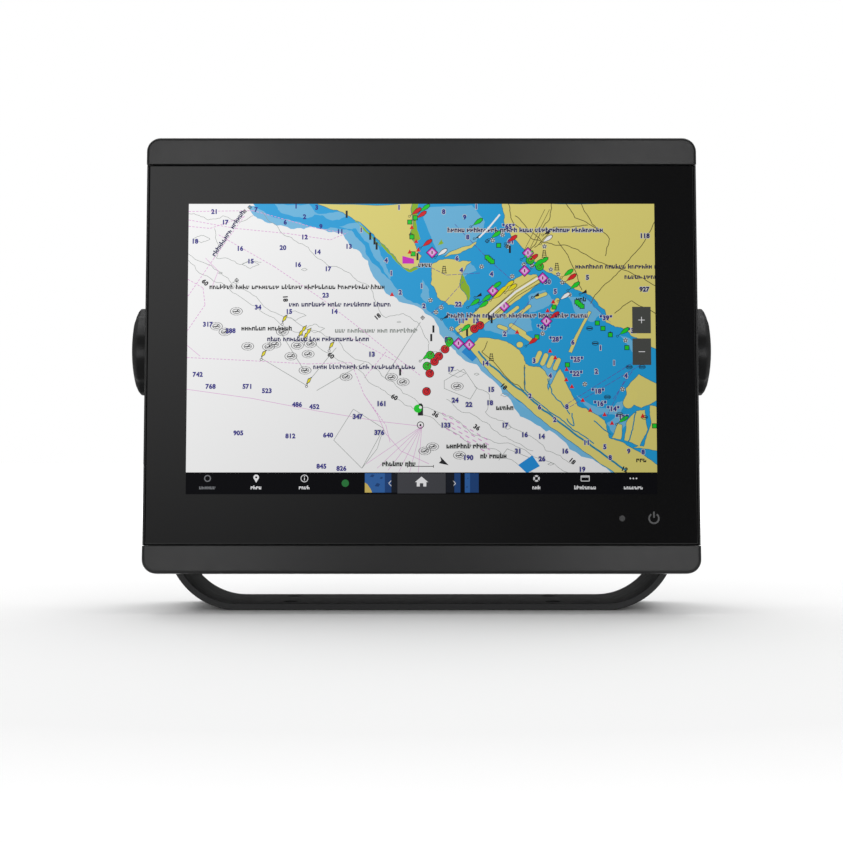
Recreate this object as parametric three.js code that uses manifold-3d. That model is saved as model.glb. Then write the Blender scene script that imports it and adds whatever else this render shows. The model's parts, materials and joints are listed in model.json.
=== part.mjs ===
// Marine chartplotter: a wide glass-fronted display that tilts in a U-shaped bail, with push-fit trims,
// two clamp knobs, finned rear housing, rear ports and a memory-card door.
// Millimetres, +Z up, the screen faces -Y. The origin is on the underside of the bail, below the tilt axis.
import * as THREE from "three";
import { mergeVertices } from "three/addons/utils/BufferGeometryUtils.js";
import Module from "manifold-3d";

const wasm = await Module();
wasm.setup();

// ---- driving dimensions ------------------------------------------------------------------------

const GAP = 0.3; // clearance between neighbouring pieces
const OVERCUT = 1; // how far a cutting tool runs past the face it cuts
const MERGE_DISTANCE = 1e-4;

const PIVOT_HEIGHT = 121.6; // tilt axis above the surface the bail stands on
const TILT_BACK = THREE.MathUtils.degToRad(5.5);

const BAIL = {
  halfWidth: 119.2, thickness: 3.2, depth: 52, cornerRadius: 33,
  eyeRadius: 13, eyeHole: 4.2, taperStart: 24, taperEnd: 84,
  screwX: 62, screwY: 15, screwHole: 2.7,
};

// Everything on the display is drawn about the tilt axis: x along it, y backwards, z up the glass.
const GLASS = { front: -35.5, thickness: 1.8, halfWidth: 127, bottom: -93.5, top: 83.3, radius: 0.8 };
const RIM = { halfWidth: 128.3, lipFront: -34.9, floor: -32.4, railFront: -33, rear: -26.5 };
const TRIM = {
  halfWidth: 128.5, front: -35.6, rear: -26.9, wall: 2, frontWall: 2.3, radius: 6.5,
  topEdge: 96.6, topSeam: 83.9, bottomEdge: -106.9, bottomSeam: -94.1,
};
const SNAP = { x: [-100, -40, 40, 100], halfWidth: 4, height: 1.5, length: 4.8 };
const FLUSH_HOLE = { x: [-118, 0, 118], radius: 2.4 };
const WINDOW = { halfWidth: 116.3, bottom: -77.5, top: 75.1, ledge: 1.4, ledgeWidth: 10 };
const LCD = {
  halfWidth: 115, bottom: -76.2, top: 73.8, cellThickness: 1.2, guideThickness: 2.6, trayWall: 0.8,
};
const ADHESIVE_INSET = 0.5;
// The power symbol, light sensor and the small board behind them.
const KEYS = {
  powerX: 106.8, sensorX: 92.2, z: -81.6, powerWindow: 4, sensorWindow: 2.2, sensorRadius: 1.35,
  pocketLeft: 5, pocketRight: 6.5, pocketBelow: 5, pocketDepth: 2.6,
  boardLeft: 4.5, boardRight: 6, boardBelow: 4.5, boardAbove: 3.5, boardFront: 1.2, boardThickness: 1,
};

const HOUSING = {
  halfWidth: 111.5, bottom: -90, top: 80, radius: 12, front: -26.2, back: 24, chamfer: 5,
  wallSide: 5, wallBack: 3, flangeBottom: -100, flangeTop: 90, flangeBack: -22.2,
};
const FINS = { count: 15, pitch: 9, thickness: 2.2, bottom: -34, top: 72, depth: 6.5, slope: 6 };
const SEAL = { inset: 1.3, width: 2.4, depth: 1.8 };
const CASE_SCREW = {
  x: [-95, -32, 32, 95], topZ: 85, bottomZ: -95.5,
  head: 3, headRim: 1.6, headHeight: 2, shank: 1.5, length: 8.4,
};

const PIVOT = { bossRadius: 8, bossInner: 97, insertRadius: 5, insertBore: 3, insertLength: 12.8 };
const DISC = { radius: 11.5, bore: 3.2 };
const WASHER = { radius: 10, bore: 3.2, thickness: 1.5 };
const KNOB = {
  radius: 20.8, rim: 134.3, faceRadius: 17, face: 136.5, crown: 138.4, hub: 9, recess: 1.8,
  edge: 1.2, headPocket: 7, headFloor: 130, bore: 3, capRadius: 12, capFloor: 135.2,
  flutes: 6, fluteRadius: 22, fluteDepth: 2.2,
};
const STUD = { radius: 2.7, head: 6.5, inner: 101 };

const BOARD = { halfWidth: 92, bottom: -48, top: 68, front: -7.4, thickness: 1.6 };
const STANDOFF = { x: 86, z: [-40, 60], radius: 4, hole: 1.5, holeEnd: 3 };
const BOARD_SCREW = { head: 2.8, headRim: 1.6, headHeight: 2, shank: 1.2, tip: 2 };
const PEDESTAL = { halfSize: 22, z: 30, front: 3 };
const SHIELD = { halfSize: 28, depth: 4.9, wall: 0.6 };
const SONAR_SHIELD = { x: [-80, -44], z: [-34, 4], depth: 6 };
const HEAT_PAD_INSET = 2;
const RIBBON_CABLE = { halfWidth: 12, thickness: 0.5, bottom: -66, rise: 8, top: -36 };
const ANTENNA = { halfSize: 12.5, y: -8, lift: 1, patchTop: 4.6, electrodeInset: 3, electrodeTop: 5 };
const BEEPER = { x: 60, z: -20, radius: 7, height: 6, hole: 1.2, holeDepth: 1.5 };
const PORT_BOARD = { halfWidth: 98, bottom: -82, top: -50, front: 7.8, thickness: 1.6 };
const PORTS = [
  { name: "power_port", x: -84, radius: 9.5, pins: 4 },
  { name: "data_bus_port", x: -50, radius: 7.5, pins: 5 },
  { name: "network_port_1", x: -18, radius: 8.5, pins: 6 },
  { name: "network_port_2", x: 14, radius: 8.5, pins: 6 },
  { name: "video_port", x: 48, radius: 8, pins: 0 },
  { name: "transducer_port", x: 84, radius: 9.5, pins: 6 },
];
const PORT = {
  z: -66, mouth: 32, floor: 20, pinTip: 25, pinRadius: 0.7, pinSpread: 0.5, inner: 9.7, wall: 2,
  neckStep: 0.8, flange: 3, flangeThickness: 2,
};
const CAP = { lip: 2, lipThickness: 2.5, plugFloor: 21, chamfer: 0.6 };

const DOOR = {
  left: 68, right: 100, bottom: -30.6, top: -12.5, front: 25.3, thickness: 2.5,
  hingeY: 27.6, hingeZ: -33.2, barrel: 2.2, pin: 0.9, knuckleLeft: 74, knuckleRight: 94,
  lug: 4.6, lugGap: 0.4, lugTop: 1.3, thumbHalfWidth: 5, thumbHeight: 1.2,
};
const WELL = {
  left: 71, right: 97, bottom: -29, top: -15, padHeight: 1, padMargin: 0.5, padBelow: 2.6,
};
const GASKET = { margin: 0.8, width: 1.6, radius: 2 };
const READER = { left: 71.5, right: 96.5, bottom: -25.5, top: -18.5, back: 1.5, front: 17.5 };
const CARD = { x: [77.8, 90.2], halfWidth: 5.5, length: 15, thickness: 1, tip: 19.9 };
const VENT = { x: -84, z: -24, radius: 7, stem: 3.2, height: 2.7, chamfer: 0.8 };

const ROUND_SMALL = 12; // sides on a screw or pin
const ROUND = 14; // sides on an ordinary round piece
const ROUND_DISC = 24; // sides on a disc or washer
const ROUND_FINE = 30; // sides on a knob
const PIN_SIDES = 6;

// ---- colours -----------------------------------------------------------------------------------

const material = (color, roughness, metalness) =>
  new THREE.MeshStandardMaterial({ color, roughness, metalness });
const PAINTED_METAL = material(0x26272a, 0.55, 0.3);
const CASE_PLASTIC = material(0x1d1e20, 0.6, 0);
const TRIM_PLASTIC = material(0x36373a, 0.5, 0);
const KNOB_PLASTIC = material(0x232427, 0.6, 0);
const GLASS_BLACK = material(0x0b0c0e, 0.06, 0);
const RUBBER = material(0x141414, 0.85, 0);
const STEEL = material(0x9a9da1, 0.35, 1);
const BRASS = material(0xb08d4c, 0.35, 1);
const CIRCUIT = material(0x1f5a34, 0.55, 0);
const SCREEN_GLASS = material(0x5aa9d8, 0.3, 0);
const LIGHT_GUIDE = material(0xe8ebee, 0.5, 0);
const CERAMIC = material(0xcfc8b8, 0.6, 0);
const PORT_PLASTIC = material(0x101113, 0.5, 0);
const RIBBON = material(0xb9762c, 0.45, 0);

// ---- solids ------------------------------------------------------------------------------------

function solidOf(geometry) {
  geometry.deleteAttribute("normal");
  geometry.deleteAttribute("uv");
  const merged = mergeVertices(geometry, MERGE_DISTANCE);
  const vertProperties = merged.attributes.position.array;
  const triVerts = new Uint32Array(merged.index.array);
  return new wasm.Manifold(new wasm.Mesh({ numProp: 3, vertProperties, triVerts }));
}

function meshOf(name, solid, look) {
  const { vertProperties, triVerts } = solid.getMesh();
  const geometry = new THREE.BufferGeometry();
  geometry.setAttribute("position", new THREE.BufferAttribute(vertProperties, 3));
  geometry.setIndex(new THREE.BufferAttribute(triVerts, 1));
  geometry.computeVertexNormals();
  const mesh = new THREE.Mesh(geometry, look.clone());
  mesh.name = name;
  return mesh;
}

const unite = (solids) => solids.reduce((sum, solid) => sum.add(solid));
const cut = (solid, tools) => tools.reduce((rest, tool) => rest.subtract(tool), solid);

function box([x0, x1], [y0, y1], [z0, z1]) {
  const geometry = new THREE.BoxGeometry(x1 - x0, y1 - y0, z1 - z0);
  geometry.translate((x0 + x1) / 2, (y0 + y1) / 2, (z0 + z1) / 2);
  return solidOf(geometry);
}

// A flat shape drawn in x and z, from y0 to y1.
function plate(shape, y0, y1, curveSegments = 4) {
  const geometry = new THREE.ExtrudeGeometry(shape, { depth: y1 - y0, bevelEnabled: false, curveSegments });
  geometry.rotateX(Math.PI / 2);
  geometry.translate(0, y1, 0);
  return solidOf(geometry);
}

// A flat shape drawn in y and z, from x0 to x1.
function sidePlate(shape, x0, x1, curveSegments = 8) {
  const geometry = new THREE.ExtrudeGeometry(shape, { depth: x1 - x0, bevelEnabled: false, curveSegments });
  geometry.applyMatrix4(new THREE.Matrix4().set(0, 0, 1, x0, 1, 0, 0, 0, 0, 1, 0, 0, 0, 0, 0, 1));
  return solidOf(geometry);
}

// A closed profile of [radius, distance along the axis] points, turned about an axis along +Y.
function turnedY(profile, x, z, sides = ROUND) {
  const geometry = new THREE.LatheGeometry(profile.map(([r, y]) => new THREE.Vector2(r, y)), sides);
  geometry.translate(x, 0, z);
  return solidOf(geometry);
}

// The same, turned about the tilt axis, outwards to the side that outward (1 or -1) names.
function turnedX(profile, outward, sides = ROUND) {
  const geometry = new THREE.LatheGeometry(profile.map(([r, x]) => new THREE.Vector2(r, x)), sides);
  geometry.rotateZ((-outward * Math.PI) / 2);
  return solidOf(geometry);
}

function rodY(radius, y0, y1, x, z, sides = ROUND) {
  return turnedY([[0, y0], [radius, y0], [radius, y1], [0, y1]], x, z, sides);
}

function rodX(radius, x0, x1, y, z, sides = ROUND) {
  const geometry = new THREE.CylinderGeometry(radius, radius, x1 - x0, sides);
  geometry.rotateZ(Math.PI / 2);
  geometry.translate((x0 + x1) / 2, y, z);
  return solidOf(geometry);
}

// A tube wall of [inner, outer] radius between two distances along the axis, as a turning profile.
const ringProfile = (inner, outer, a, b) => [[inner, a], [outer, a], [outer, b], [inner, b], [inner, a]];

// ---- outlines ----------------------------------------------------------------------------------

// The corners run anticlockwise from the lower right; a corner of radius 0 stays sharp.
function roundedRect(halfWidth, z0, z1, lowerRadius, upperRadius = lowerRadius) {
  const shape = new THREE.Shape();
  const corners = [[1, z0, lowerRadius], [1, z1, upperRadius], [-1, z1, upperRadius], [-1, z0, lowerRadius]];
  shape.moveTo(-halfWidth + lowerRadius, z0);
  corners.forEach(([side, z, radius], index) => {
    const x = side * (halfWidth - radius);
    const centre = z + (z === z0 ? radius : -radius);
    const start = ((index - 1) * Math.PI) / 2;
    if (radius) shape.absarc(x, centre, radius, start, start + Math.PI / 2);
    else shape.lineTo(x, z);
  });
  return shape;
}

// A frame between an outer outline and the same outline drawn in by width.
function frame([halfWidth, z0, z1, radius], width, y0, y1) {
  const outer = plate(roundedRect(halfWidth, z0, z1, radius), y0, y1);
  const innerShape = roundedRect(halfWidth - width, z0 + width, z1 - width, Math.max(radius - width, 0.5));
  return outer.subtract(plate(innerShape, y0 - OVERCUT, y1 + OVERCUT));
}

// ---- bail --------------------------------------------------------------------------------------

// The bent strip seen from the front: flat base, two large bends, two upright arms.
function bailStrip() {
  const { halfWidth, thickness, cornerRadius } = BAIL;
  const top = PIVOT_HEIGHT + BAIL.eyeRadius;
  const bend = halfWidth - cornerRadius;
  const inner = halfWidth - thickness;
  const shape = new THREE.Shape();
  shape.moveTo(-bend, 0);
  shape.lineTo(bend, 0);
  shape.absarc(bend, cornerRadius, cornerRadius, -Math.PI / 2, 0);
  shape.lineTo(halfWidth, top);
  shape.lineTo(inner, top);
  shape.lineTo(inner, cornerRadius);
  shape.absarc(bend, cornerRadius, cornerRadius - thickness, 0, -Math.PI / 2, true);
  shape.lineTo(-bend, thickness);
  shape.absarc(-bend, cornerRadius, cornerRadius - thickness, -Math.PI / 2, -Math.PI, true);
  shape.lineTo(-inner, top);
  shape.lineTo(-halfWidth, top);
  shape.lineTo(-halfWidth, cornerRadius);
  shape.absarc(-bend, cornerRadius, cornerRadius, Math.PI, 1.5 * Math.PI);
  return shape;
}

// The bail seen from the side: wide foot, arms that narrow to a round eye.
function bailSide() {
  const foot = BAIL.depth / 2;
  const { eyeRadius, taperStart, taperEnd } = BAIL;
  const middle = (taperStart + taperEnd) / 2;
  const shape = new THREE.Shape();
  shape.moveTo(-foot, -OVERCUT);
  shape.lineTo(foot, -OVERCUT);
  shape.lineTo(foot, taperStart);
  shape.bezierCurveTo(foot, middle, eyeRadius, middle, eyeRadius, taperEnd);
  shape.lineTo(eyeRadius, PIVOT_HEIGHT);
  shape.absarc(0, PIVOT_HEIGHT, eyeRadius, 0, Math.PI);
  shape.lineTo(-eyeRadius, taperEnd);
  shape.bezierCurveTo(-eyeRadius, middle, -foot, middle, -foot, taperStart);
  return shape;
}

function bailBracket() {
  const reach = BAIL.halfWidth + OVERCUT;
  const strip = plate(bailStrip(), -BAIL.depth / 2, BAIL.depth / 2, 8);
  const eyes = rodX(BAIL.eyeHole, -reach, reach, 0, PIVOT_HEIGHT);
  const screws = [-1, 1].flatMap((sx) => [-1, 1].map((sy) => {
    const hole = new THREE.CylinderGeometry(BAIL.screwHole, BAIL.screwHole, 2 * reach, ROUND);
    hole.rotateX(Math.PI / 2);
    hole.translate(sx * BAIL.screwX, sy * BAIL.screwY, 0);
    return solidOf(hole);
  }));
  return cut(strip.intersect(sidePlate(bailSide(), -reach, reach)), [eyes, ...screws]);
}

// ---- front: rim, glass, screen, trims ----------------------------------------------------------

const RAIL = {
  halfWidth: TRIM.halfWidth - TRIM.frontWall - GAP,
  bottom: TRIM.bottomEdge + TRIM.wall + GAP,
  top: TRIM.topEdge - TRIM.wall - GAP,
};
const RAIL_TOP_Z = (RAIL.top + TRIM.topSeam) / 2;
const RAIL_BOTTOM_Z = (RAIL.bottom + TRIM.bottomSeam) / 2;

const snapSlot = (x, z) => box(
  [x - SNAP.halfWidth - GAP, x + SNAP.halfWidth + GAP],
  [RIM.railFront - OVERCUT, RIM.rear + OVERCUT],
  [z - SNAP.height / 2 - GAP, z + SNAP.height / 2 + GAP],
);

const caseScrewSpots = [CASE_SCREW.topZ, CASE_SCREW.bottomZ].flatMap((z) => CASE_SCREW.x.map((x) => [x, z]));

function frontBezel() {
  const surround = plate(
    roundedRect(RIM.halfWidth, TRIM.bottomSeam + GAP, TRIM.topSeam - GAP, 0), RIM.lipFront, RIM.rear);
  const rails = plate(
    roundedRect(RAIL.halfWidth, RAIL.bottom, RAIL.top, TRIM.radius - TRIM.wall), RIM.railFront, RIM.rear);
  const pocket = box(
    [-GLASS.halfWidth - GAP, GLASS.halfWidth + GAP],
    [RIM.lipFront - OVERCUT, RIM.floor],
    [GLASS.bottom - OVERCUT, GLASS.top + OVERCUT],
  );
  const { halfWidth, bottom, top, ledge, ledgeWidth } = WINDOW;
  const window = box([-halfWidth, halfWidth], [RIM.floor - OVERCUT, RIM.rear - ledge], [bottom, top]);
  const cablePass = box(
    [-halfWidth + ledgeWidth, halfWidth - ledgeWidth], [RIM.floor, RIM.rear + OVERCUT],
    [bottom + ledgeWidth, top - ledgeWidth]);
  const keyPocket = box(
    [KEYS.sensorX - KEYS.pocketLeft, KEYS.powerX + KEYS.pocketRight],
    [RIM.floor - OVERCUT, RIM.floor + KEYS.pocketDepth],
    [KEYS.z - KEYS.pocketBelow, WINDOW.bottom + GAP]);
  const slots = SNAP.x.flatMap((x) => [snapSlot(x, RAIL_TOP_Z), snapSlot(x, RAIL_BOTTOM_Z)]);
  const flushHoles = FLUSH_HOLE.x.flatMap((x) => [RAIL_TOP_Z, RAIL_BOTTOM_Z].map(
    (z) => rodY(FLUSH_HOLE.radius, RIM.railFront - OVERCUT, RIM.rear + OVERCUT, x, z)));
  const screwHoles = caseScrewSpots.map(([x, z]) => rodY(
    CASE_SCREW.shank + GAP, HOUSING.flangeBack - CASE_SCREW.length - GAP, RIM.rear + OVERCUT, x, z));
  const holes = [...slots, ...flushHoles, ...screwHoles];
  return cut(surround.add(rails), [pocket, window, cablePass, keyPocket, ...holes]);
}

function coverGlass() {
  const { halfWidth, bottom, top, radius, front, thickness } = GLASS;
  return plate(roundedRect(halfWidth, bottom, top, radius), front, front + thickness);
}

function glassAdhesive() {
  const inset = ADHESIVE_INSET;
  const y0 = GLASS.front + GLASS.thickness + GAP;
  const sheet = plate(
    roundedRect(GLASS.halfWidth - inset, GLASS.bottom + inset, GLASS.top - inset, GLASS.radius),
    y0, RIM.floor - GAP);
  const opening = plate(
    roundedRect(WINDOW.halfWidth, WINDOW.bottom, WINDOW.top, GLASS.radius),
    y0 - OVERCUT, RIM.floor + OVERCUT);
  const windows = [[KEYS.powerX, KEYS.powerWindow], [KEYS.sensorX, KEYS.sensorWindow]].map(
    ([x, radius]) => rodY(radius, y0 - OVERCUT, RIM.floor + OVERCUT, x, KEYS.z));
  return cut(sheet, [opening, ...windows]);
}

const lcdPlate = (inset, y0, y1) => box(
  [-LCD.halfWidth + inset, LCD.halfWidth - inset], [y0, y1], [LCD.bottom + inset, LCD.top - inset]);

// The liquid-crystal cell, light guide and steel tray lie one behind the other in the rim's window.
const CELL_FRONT = GLASS.front + GLASS.thickness + GAP;
const CELL_BACK = CELL_FRONT + LCD.cellThickness;
const GUIDE_BACK = CELL_BACK + GAP + LCD.guideThickness;

function lcdTray() {
  const back = GUIDE_BACK + GAP + LCD.trayWall;
  const cup = lcdPlate(0, CELL_BACK + GAP, back);
  return cup.subtract(lcdPlate(LCD.trayWall, CELL_BACK - OVERCUT, back - LCD.trayWall));
}

function trim(z0, z1, isTop) {
  const radii = isTop ? [0, TRIM.radius] : [TRIM.radius, 0];
  const innerRadius = TRIM.radius - TRIM.wall;
  const innerRadii = isTop ? [0, innerRadius] : [innerRadius, 0];
  const shell = plate(roundedRect(TRIM.halfWidth, z0, z1, ...radii), TRIM.front, TRIM.rear);
  const low = isTop ? z0 - OVERCUT : RAIL.bottom - GAP;
  const high = isTop ? RAIL.top + GAP : z1 + OVERCUT;
  const room = plate(
    roundedRect(RAIL.halfWidth + GAP, low, high, ...innerRadii), RIM.railFront - GAP, TRIM.rear + OVERCUT);
  const z = isTop ? RAIL_TOP_Z : RAIL_BOTTOM_Z;
  const y0 = RIM.railFront - GAP - OVERCUT;
  const tabs = SNAP.x.map((x) => box(
    [x - SNAP.halfWidth, x + SNAP.halfWidth],
    [y0, y0 + OVERCUT + SNAP.length],
    [z - SNAP.height / 2, z + SNAP.height / 2],
  ));
  return unite([shell.subtract(room), ...tabs]);
}

function keyBoard() {
  const front = RIM.floor + KEYS.boardFront;
  return box(
    [KEYS.sensorX - KEYS.boardLeft, KEYS.powerX + KEYS.boardRight],
    [front, front + KEYS.boardThickness],
    [KEYS.z - KEYS.boardBelow, KEYS.z + KEYS.boardAbove]);
}

function lightSensor() {
  const back = RIM.floor + KEYS.boardFront - GAP;
  return rodY(KEYS.sensorRadius, RIM.floor - GAP, back, KEYS.sensorX, KEYS.z, ROUND_SMALL);
}

// ---- rear housing ------------------------------------------------------------------------------

const WALL_INNER = HOUSING.back - HOUSING.wallBack;
const CAVITY = {
  halfWidth: HOUSING.halfWidth - HOUSING.wallSide,
  bottom: HOUSING.bottom + HOUSING.wallSide,
  top: HOUSING.top - HOUSING.wallSide,
  radius: HOUSING.radius - HOUSING.wallSide,
};

// The shell's outline with a chamfered back edge.
function housingBlock() {
  const { halfWidth, bottom, top, radius, front, back, chamfer } = HOUSING;
  const tub = plate(roundedRect(halfWidth, bottom, top, radius), front, back - chamfer);
  const options = {
    depth: 2 * chamfer, bevelEnabled: true, bevelThickness: chamfer, bevelSize: chamfer,
    bevelOffset: -chamfer, bevelSegments: 1, curveSegments: 4,
  };
  const crowned = new THREE.ExtrudeGeometry(roundedRect(halfWidth, bottom, top, radius), options);
  crowned.rotateX(Math.PI / 2);
  crowned.translate(0, back - chamfer, 0);
  return tub.add(solidOf(crowned));
}

function fin(index) {
  const x = (index - (FINS.count - 1) / 2) * FINS.pitch;
  const root = HOUSING.back - OVERCUT;
  const tip = HOUSING.back + FINS.depth;
  const shape = new THREE.Shape();
  shape.moveTo(root, FINS.bottom);
  shape.lineTo(tip, FINS.bottom + FINS.slope);
  shape.lineTo(tip, FINS.top - FINS.slope);
  shape.lineTo(root, FINS.top);
  return sidePlate(shape, x - FINS.thickness / 2, x + FINS.thickness / 2);
}

const standoffSpots = STANDOFF.z.flatMap((z) => [[-STANDOFF.x, z], [STANDOFF.x, z]]);
const BOARD_BACK = BOARD.front + BOARD.thickness;

function pivotBoss(outward) {
  const profile = [
    [0, PIVOT.bossInner], [PIVOT.bossRadius, PIVOT.bossInner],
    [PIVOT.bossRadius, CAVITY.halfWidth + OVERCUT], [0, CAVITY.halfWidth + OVERCUT],
  ];
  return turnedX(profile, outward);
}

const INSERT_OUTER = HOUSING.halfWidth - GAP;
const INSERT_INNER = INSERT_OUTER - PIVOT.insertLength;

function insertBore(outward) {
  const floor = INSERT_INNER - GAP;
  const radius = PIVOT.insertRadius + GAP;
  const mouth = HOUSING.halfWidth + OVERCUT;
  return turnedX([[0, floor], [radius, floor], [radius, mouth], [0, mouth]], outward);
}

// Raised pad round the card well, with two hinge lugs below it.
function doorSeat() {
  const padBack = HOUSING.back + WELL.padHeight;
  const pad = box(
    [DOOR.left - WELL.padMargin, DOOR.right + WELL.padMargin], [WALL_INNER, padBack],
    [DOOR.hingeZ - WELL.padBelow, DOOR.top + WELL.padHeight]);
  const lugSpan = [DOOR.hingeZ - DOOR.barrel, DOOR.hingeZ + DOOR.lugTop];
  const lugs = [DOOR.knuckleLeft - DOOR.lugGap - DOOR.lug, DOOR.knuckleRight + DOOR.lugGap].map((x) => unite([
    rodX(DOOR.barrel, x, x + DOOR.lug, DOOR.hingeY, DOOR.hingeZ),
    box([x, x + DOOR.lug], [HOUSING.back, DOOR.hingeY], lugSpan),
  ]));
  return unite([pad, ...lugs]);
}

const pinBore = () => rodX(
  DOOR.pin + GAP, DOOR.left - OVERCUT, DOOR.right + OVERCUT, DOOR.hingeY, DOOR.hingeZ, ROUND_SMALL);

function sealGroove() {
  const { inset, width, depth } = SEAL;
  const outline = [
    HOUSING.halfWidth - inset, HOUSING.bottom + inset, HOUSING.top - inset, HOUSING.radius - inset];
  return frame(outline, width, HOUSING.front - OVERCUT, HOUSING.front + depth);
}

function housingSeal() {
  const inset = SEAL.inset + GAP;
  const outline = [
    HOUSING.halfWidth - inset, HOUSING.bottom + inset, HOUSING.top - inset, HOUSING.radius - inset];
  return frame(outline, SEAL.width - 2 * GAP, HOUSING.front, HOUSING.front + SEAL.depth - GAP);
}

function rearHousing() {
  const flange = plate(
    roundedRect(HOUSING.halfWidth, HOUSING.flangeBottom, HOUSING.flangeTop, HOUSING.radius),
    HOUSING.front, HOUSING.flangeBack);
  const cavity = plate(
    roundedRect(CAVITY.halfWidth, CAVITY.bottom, CAVITY.top, CAVITY.radius),
    HOUSING.front - OVERCUT, WALL_INNER);
  const standoffs = standoffSpots.map(([x, z]) => rodY(
    STANDOFF.radius, BOARD_BACK + GAP, WALL_INNER + OVERCUT, x, z));
  const pedestal = box(
    [-PEDESTAL.halfSize, PEDESTAL.halfSize], [PEDESTAL.front, WALL_INNER + OVERCUT],
    [PEDESTAL.z - PEDESTAL.halfSize, PEDESTAL.z + PEDESTAL.halfSize]);
  const fins = Array.from({ length: FINS.count }, (_, index) => fin(index));
  const shell = housingBlock().add(flange).subtract(cavity);
  const full = unite([shell, ...fins, ...standoffs, pedestal, pivotBoss(-1), pivotBoss(1), doorSeat()]);

  const backReach = [WALL_INNER - OVERCUT, HOUSING.back + OVERCUT];
  const portHoles = PORTS.map(({ x, radius }) => rodY(radius - PORT.neckStep + GAP, ...backReach, x, PORT.z));
  const boardHoles = standoffSpots.map(([x, z]) => rodY(
    STANDOFF.hole, BOARD_BACK - OVERCUT, STANDOFF.holeEnd, x, z, ROUND_SMALL));
  const screwHoles = caseScrewSpots.map(([x, z]) => rodY(
    CASE_SCREW.shank + GAP, HOUSING.front - OVERCUT, HOUSING.flangeBack + OVERCUT, x, z));
  const well = box([WELL.left, WELL.right], [WALL_INNER - OVERCUT, DOOR.front], [WELL.bottom, WELL.top]);
  const ventHole = rodY(VENT.stem + GAP, ...backReach, VENT.x, VENT.z);
  return cut(full, [
    ...portHoles, ...boardHoles, ...screwHoles, well, ventHole,
    sealGroove(), insertBore(-1), insertBore(1), pinBore(),
  ]);
}

function caseScrew(x, z) {
  const seat = HOUSING.flangeBack + GAP;
  const { head, headRim, headHeight, shank, length } = CASE_SCREW;
  const tip = HOUSING.flangeBack - length;
  return turnedY([
    [0, tip], [shank, tip], [shank, seat], [head, seat], [head, seat + headRim], [0, seat + headHeight],
  ], x, z, ROUND_SMALL);
}

// ---- electronics -------------------------------------------------------------------------------

function mainBoard() {
  const { halfWidth, front, bottom, top } = BOARD;
  const board = box([-halfWidth, halfWidth], [front, BOARD_BACK], [bottom, top]);
  const holes = standoffSpots.map(([x, z]) => rodY(
    STANDOFF.hole + GAP, front - OVERCUT, BOARD_BACK + OVERCUT, x, z, ROUND_SMALL));
  return cut(board, holes);
}

function boardScrew(x, z) {
  const seat = BOARD.front - GAP;
  const { head, headRim, headHeight, shank, tip } = BOARD_SCREW;
  return turnedY([
    [0, seat - headHeight], [head, seat - headRim], [head, seat], [shank, seat], [shank, tip], [0, tip],
  ], x, z, ROUND_SMALL);
}

// A folded sheet can, open towards the board that carries it.
function shieldCan([x0, x1], [z0, z1], boardFace, depth) {
  const far = boardFace + depth;
  const [y0, y1] = depth > 0 ? [boardFace, far] : [far, boardFace];
  const room = depth > 0 ? [y0 - OVERCUT, y1 - SHIELD.wall] : [y0 + SHIELD.wall, y1 + OVERCUT];
  const inside = ([a, b]) => [a + SHIELD.wall, b - SHIELD.wall];
  return box([x0, x1], [y0, y1], [z0, z1]).subtract(box(inside([x0, x1]), room, inside([z0, z1])));
}

function processorShield() {
  const span = [-SHIELD.halfSize, SHIELD.halfSize];
  return shieldCan(span, span.map((z) => z + PEDESTAL.z), BOARD_BACK + GAP, SHIELD.depth);
}

function sonarShield() {
  return shieldCan(SONAR_SHIELD.x, SONAR_SHIELD.z, BOARD.front - GAP, -SONAR_SHIELD.depth);
}

function heatPad() {
  const y0 = BOARD_BACK + GAP + SHIELD.depth + GAP;
  const half = PEDESTAL.halfSize - HEAT_PAD_INSET;
  return box([-half, half], [y0, PEDESTAL.front - GAP], [PEDESTAL.z - half, PEDESTAL.z + half]);
}

function connectorBoard() {
  const { halfWidth, bottom, top, front, thickness } = PORT_BOARD;
  return box([-halfWidth, halfWidth], [front, front + thickness], [bottom, top]);
}

// The flat cable that runs from the screen tray back to the main board.
function displayRibbon() {
  const { halfWidth, thickness, bottom, rise, top } = RIBBON_CABLE;
  const start = GUIDE_BACK + GAP + LCD.trayWall + GAP;
  const end = BOARD.front - GAP - thickness;
  const middle = [(start + end) / 2, (bottom + top) / 2];
  const path = [[start, bottom], [start, bottom + rise], middle, [end, top - rise], [end, top]];
  const shape = new THREE.Shape();
  path.forEach(([y, z], i) => (i ? shape.lineTo(y, z) : shape.moveTo(y, z)));
  [...path].reverse().forEach(([y, z]) => shape.lineTo(y + thickness, z));
  return sidePlate(shape, -halfWidth, halfWidth);
}

function positioningAntenna() {
  const { halfSize, y, lift, patchTop, electrodeInset, electrodeTop } = ANTENNA;
  const square = (half, z) => box([-half, half], [y - half, y + half], z);
  const patch = square(halfSize, [BOARD.top + lift, BOARD.top + patchTop]);
  return patch.add(square(halfSize - electrodeInset, [BOARD.top + lift, BOARD.top + electrodeTop]));
}

function beeper() {
  const { x, z, radius, height, hole, holeDepth } = BEEPER;
  const back = BOARD.front - GAP;
  const front = back - height;
  const floor = front + holeDepth;
  return turnedY([
    [hole, front], [radius, front], [radius, back], [0, back], [0, floor], [hole, floor], [hole, front],
  ], x, z);
}

// ---- rear ports, vent and card bay -------------------------------------------------------------

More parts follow.
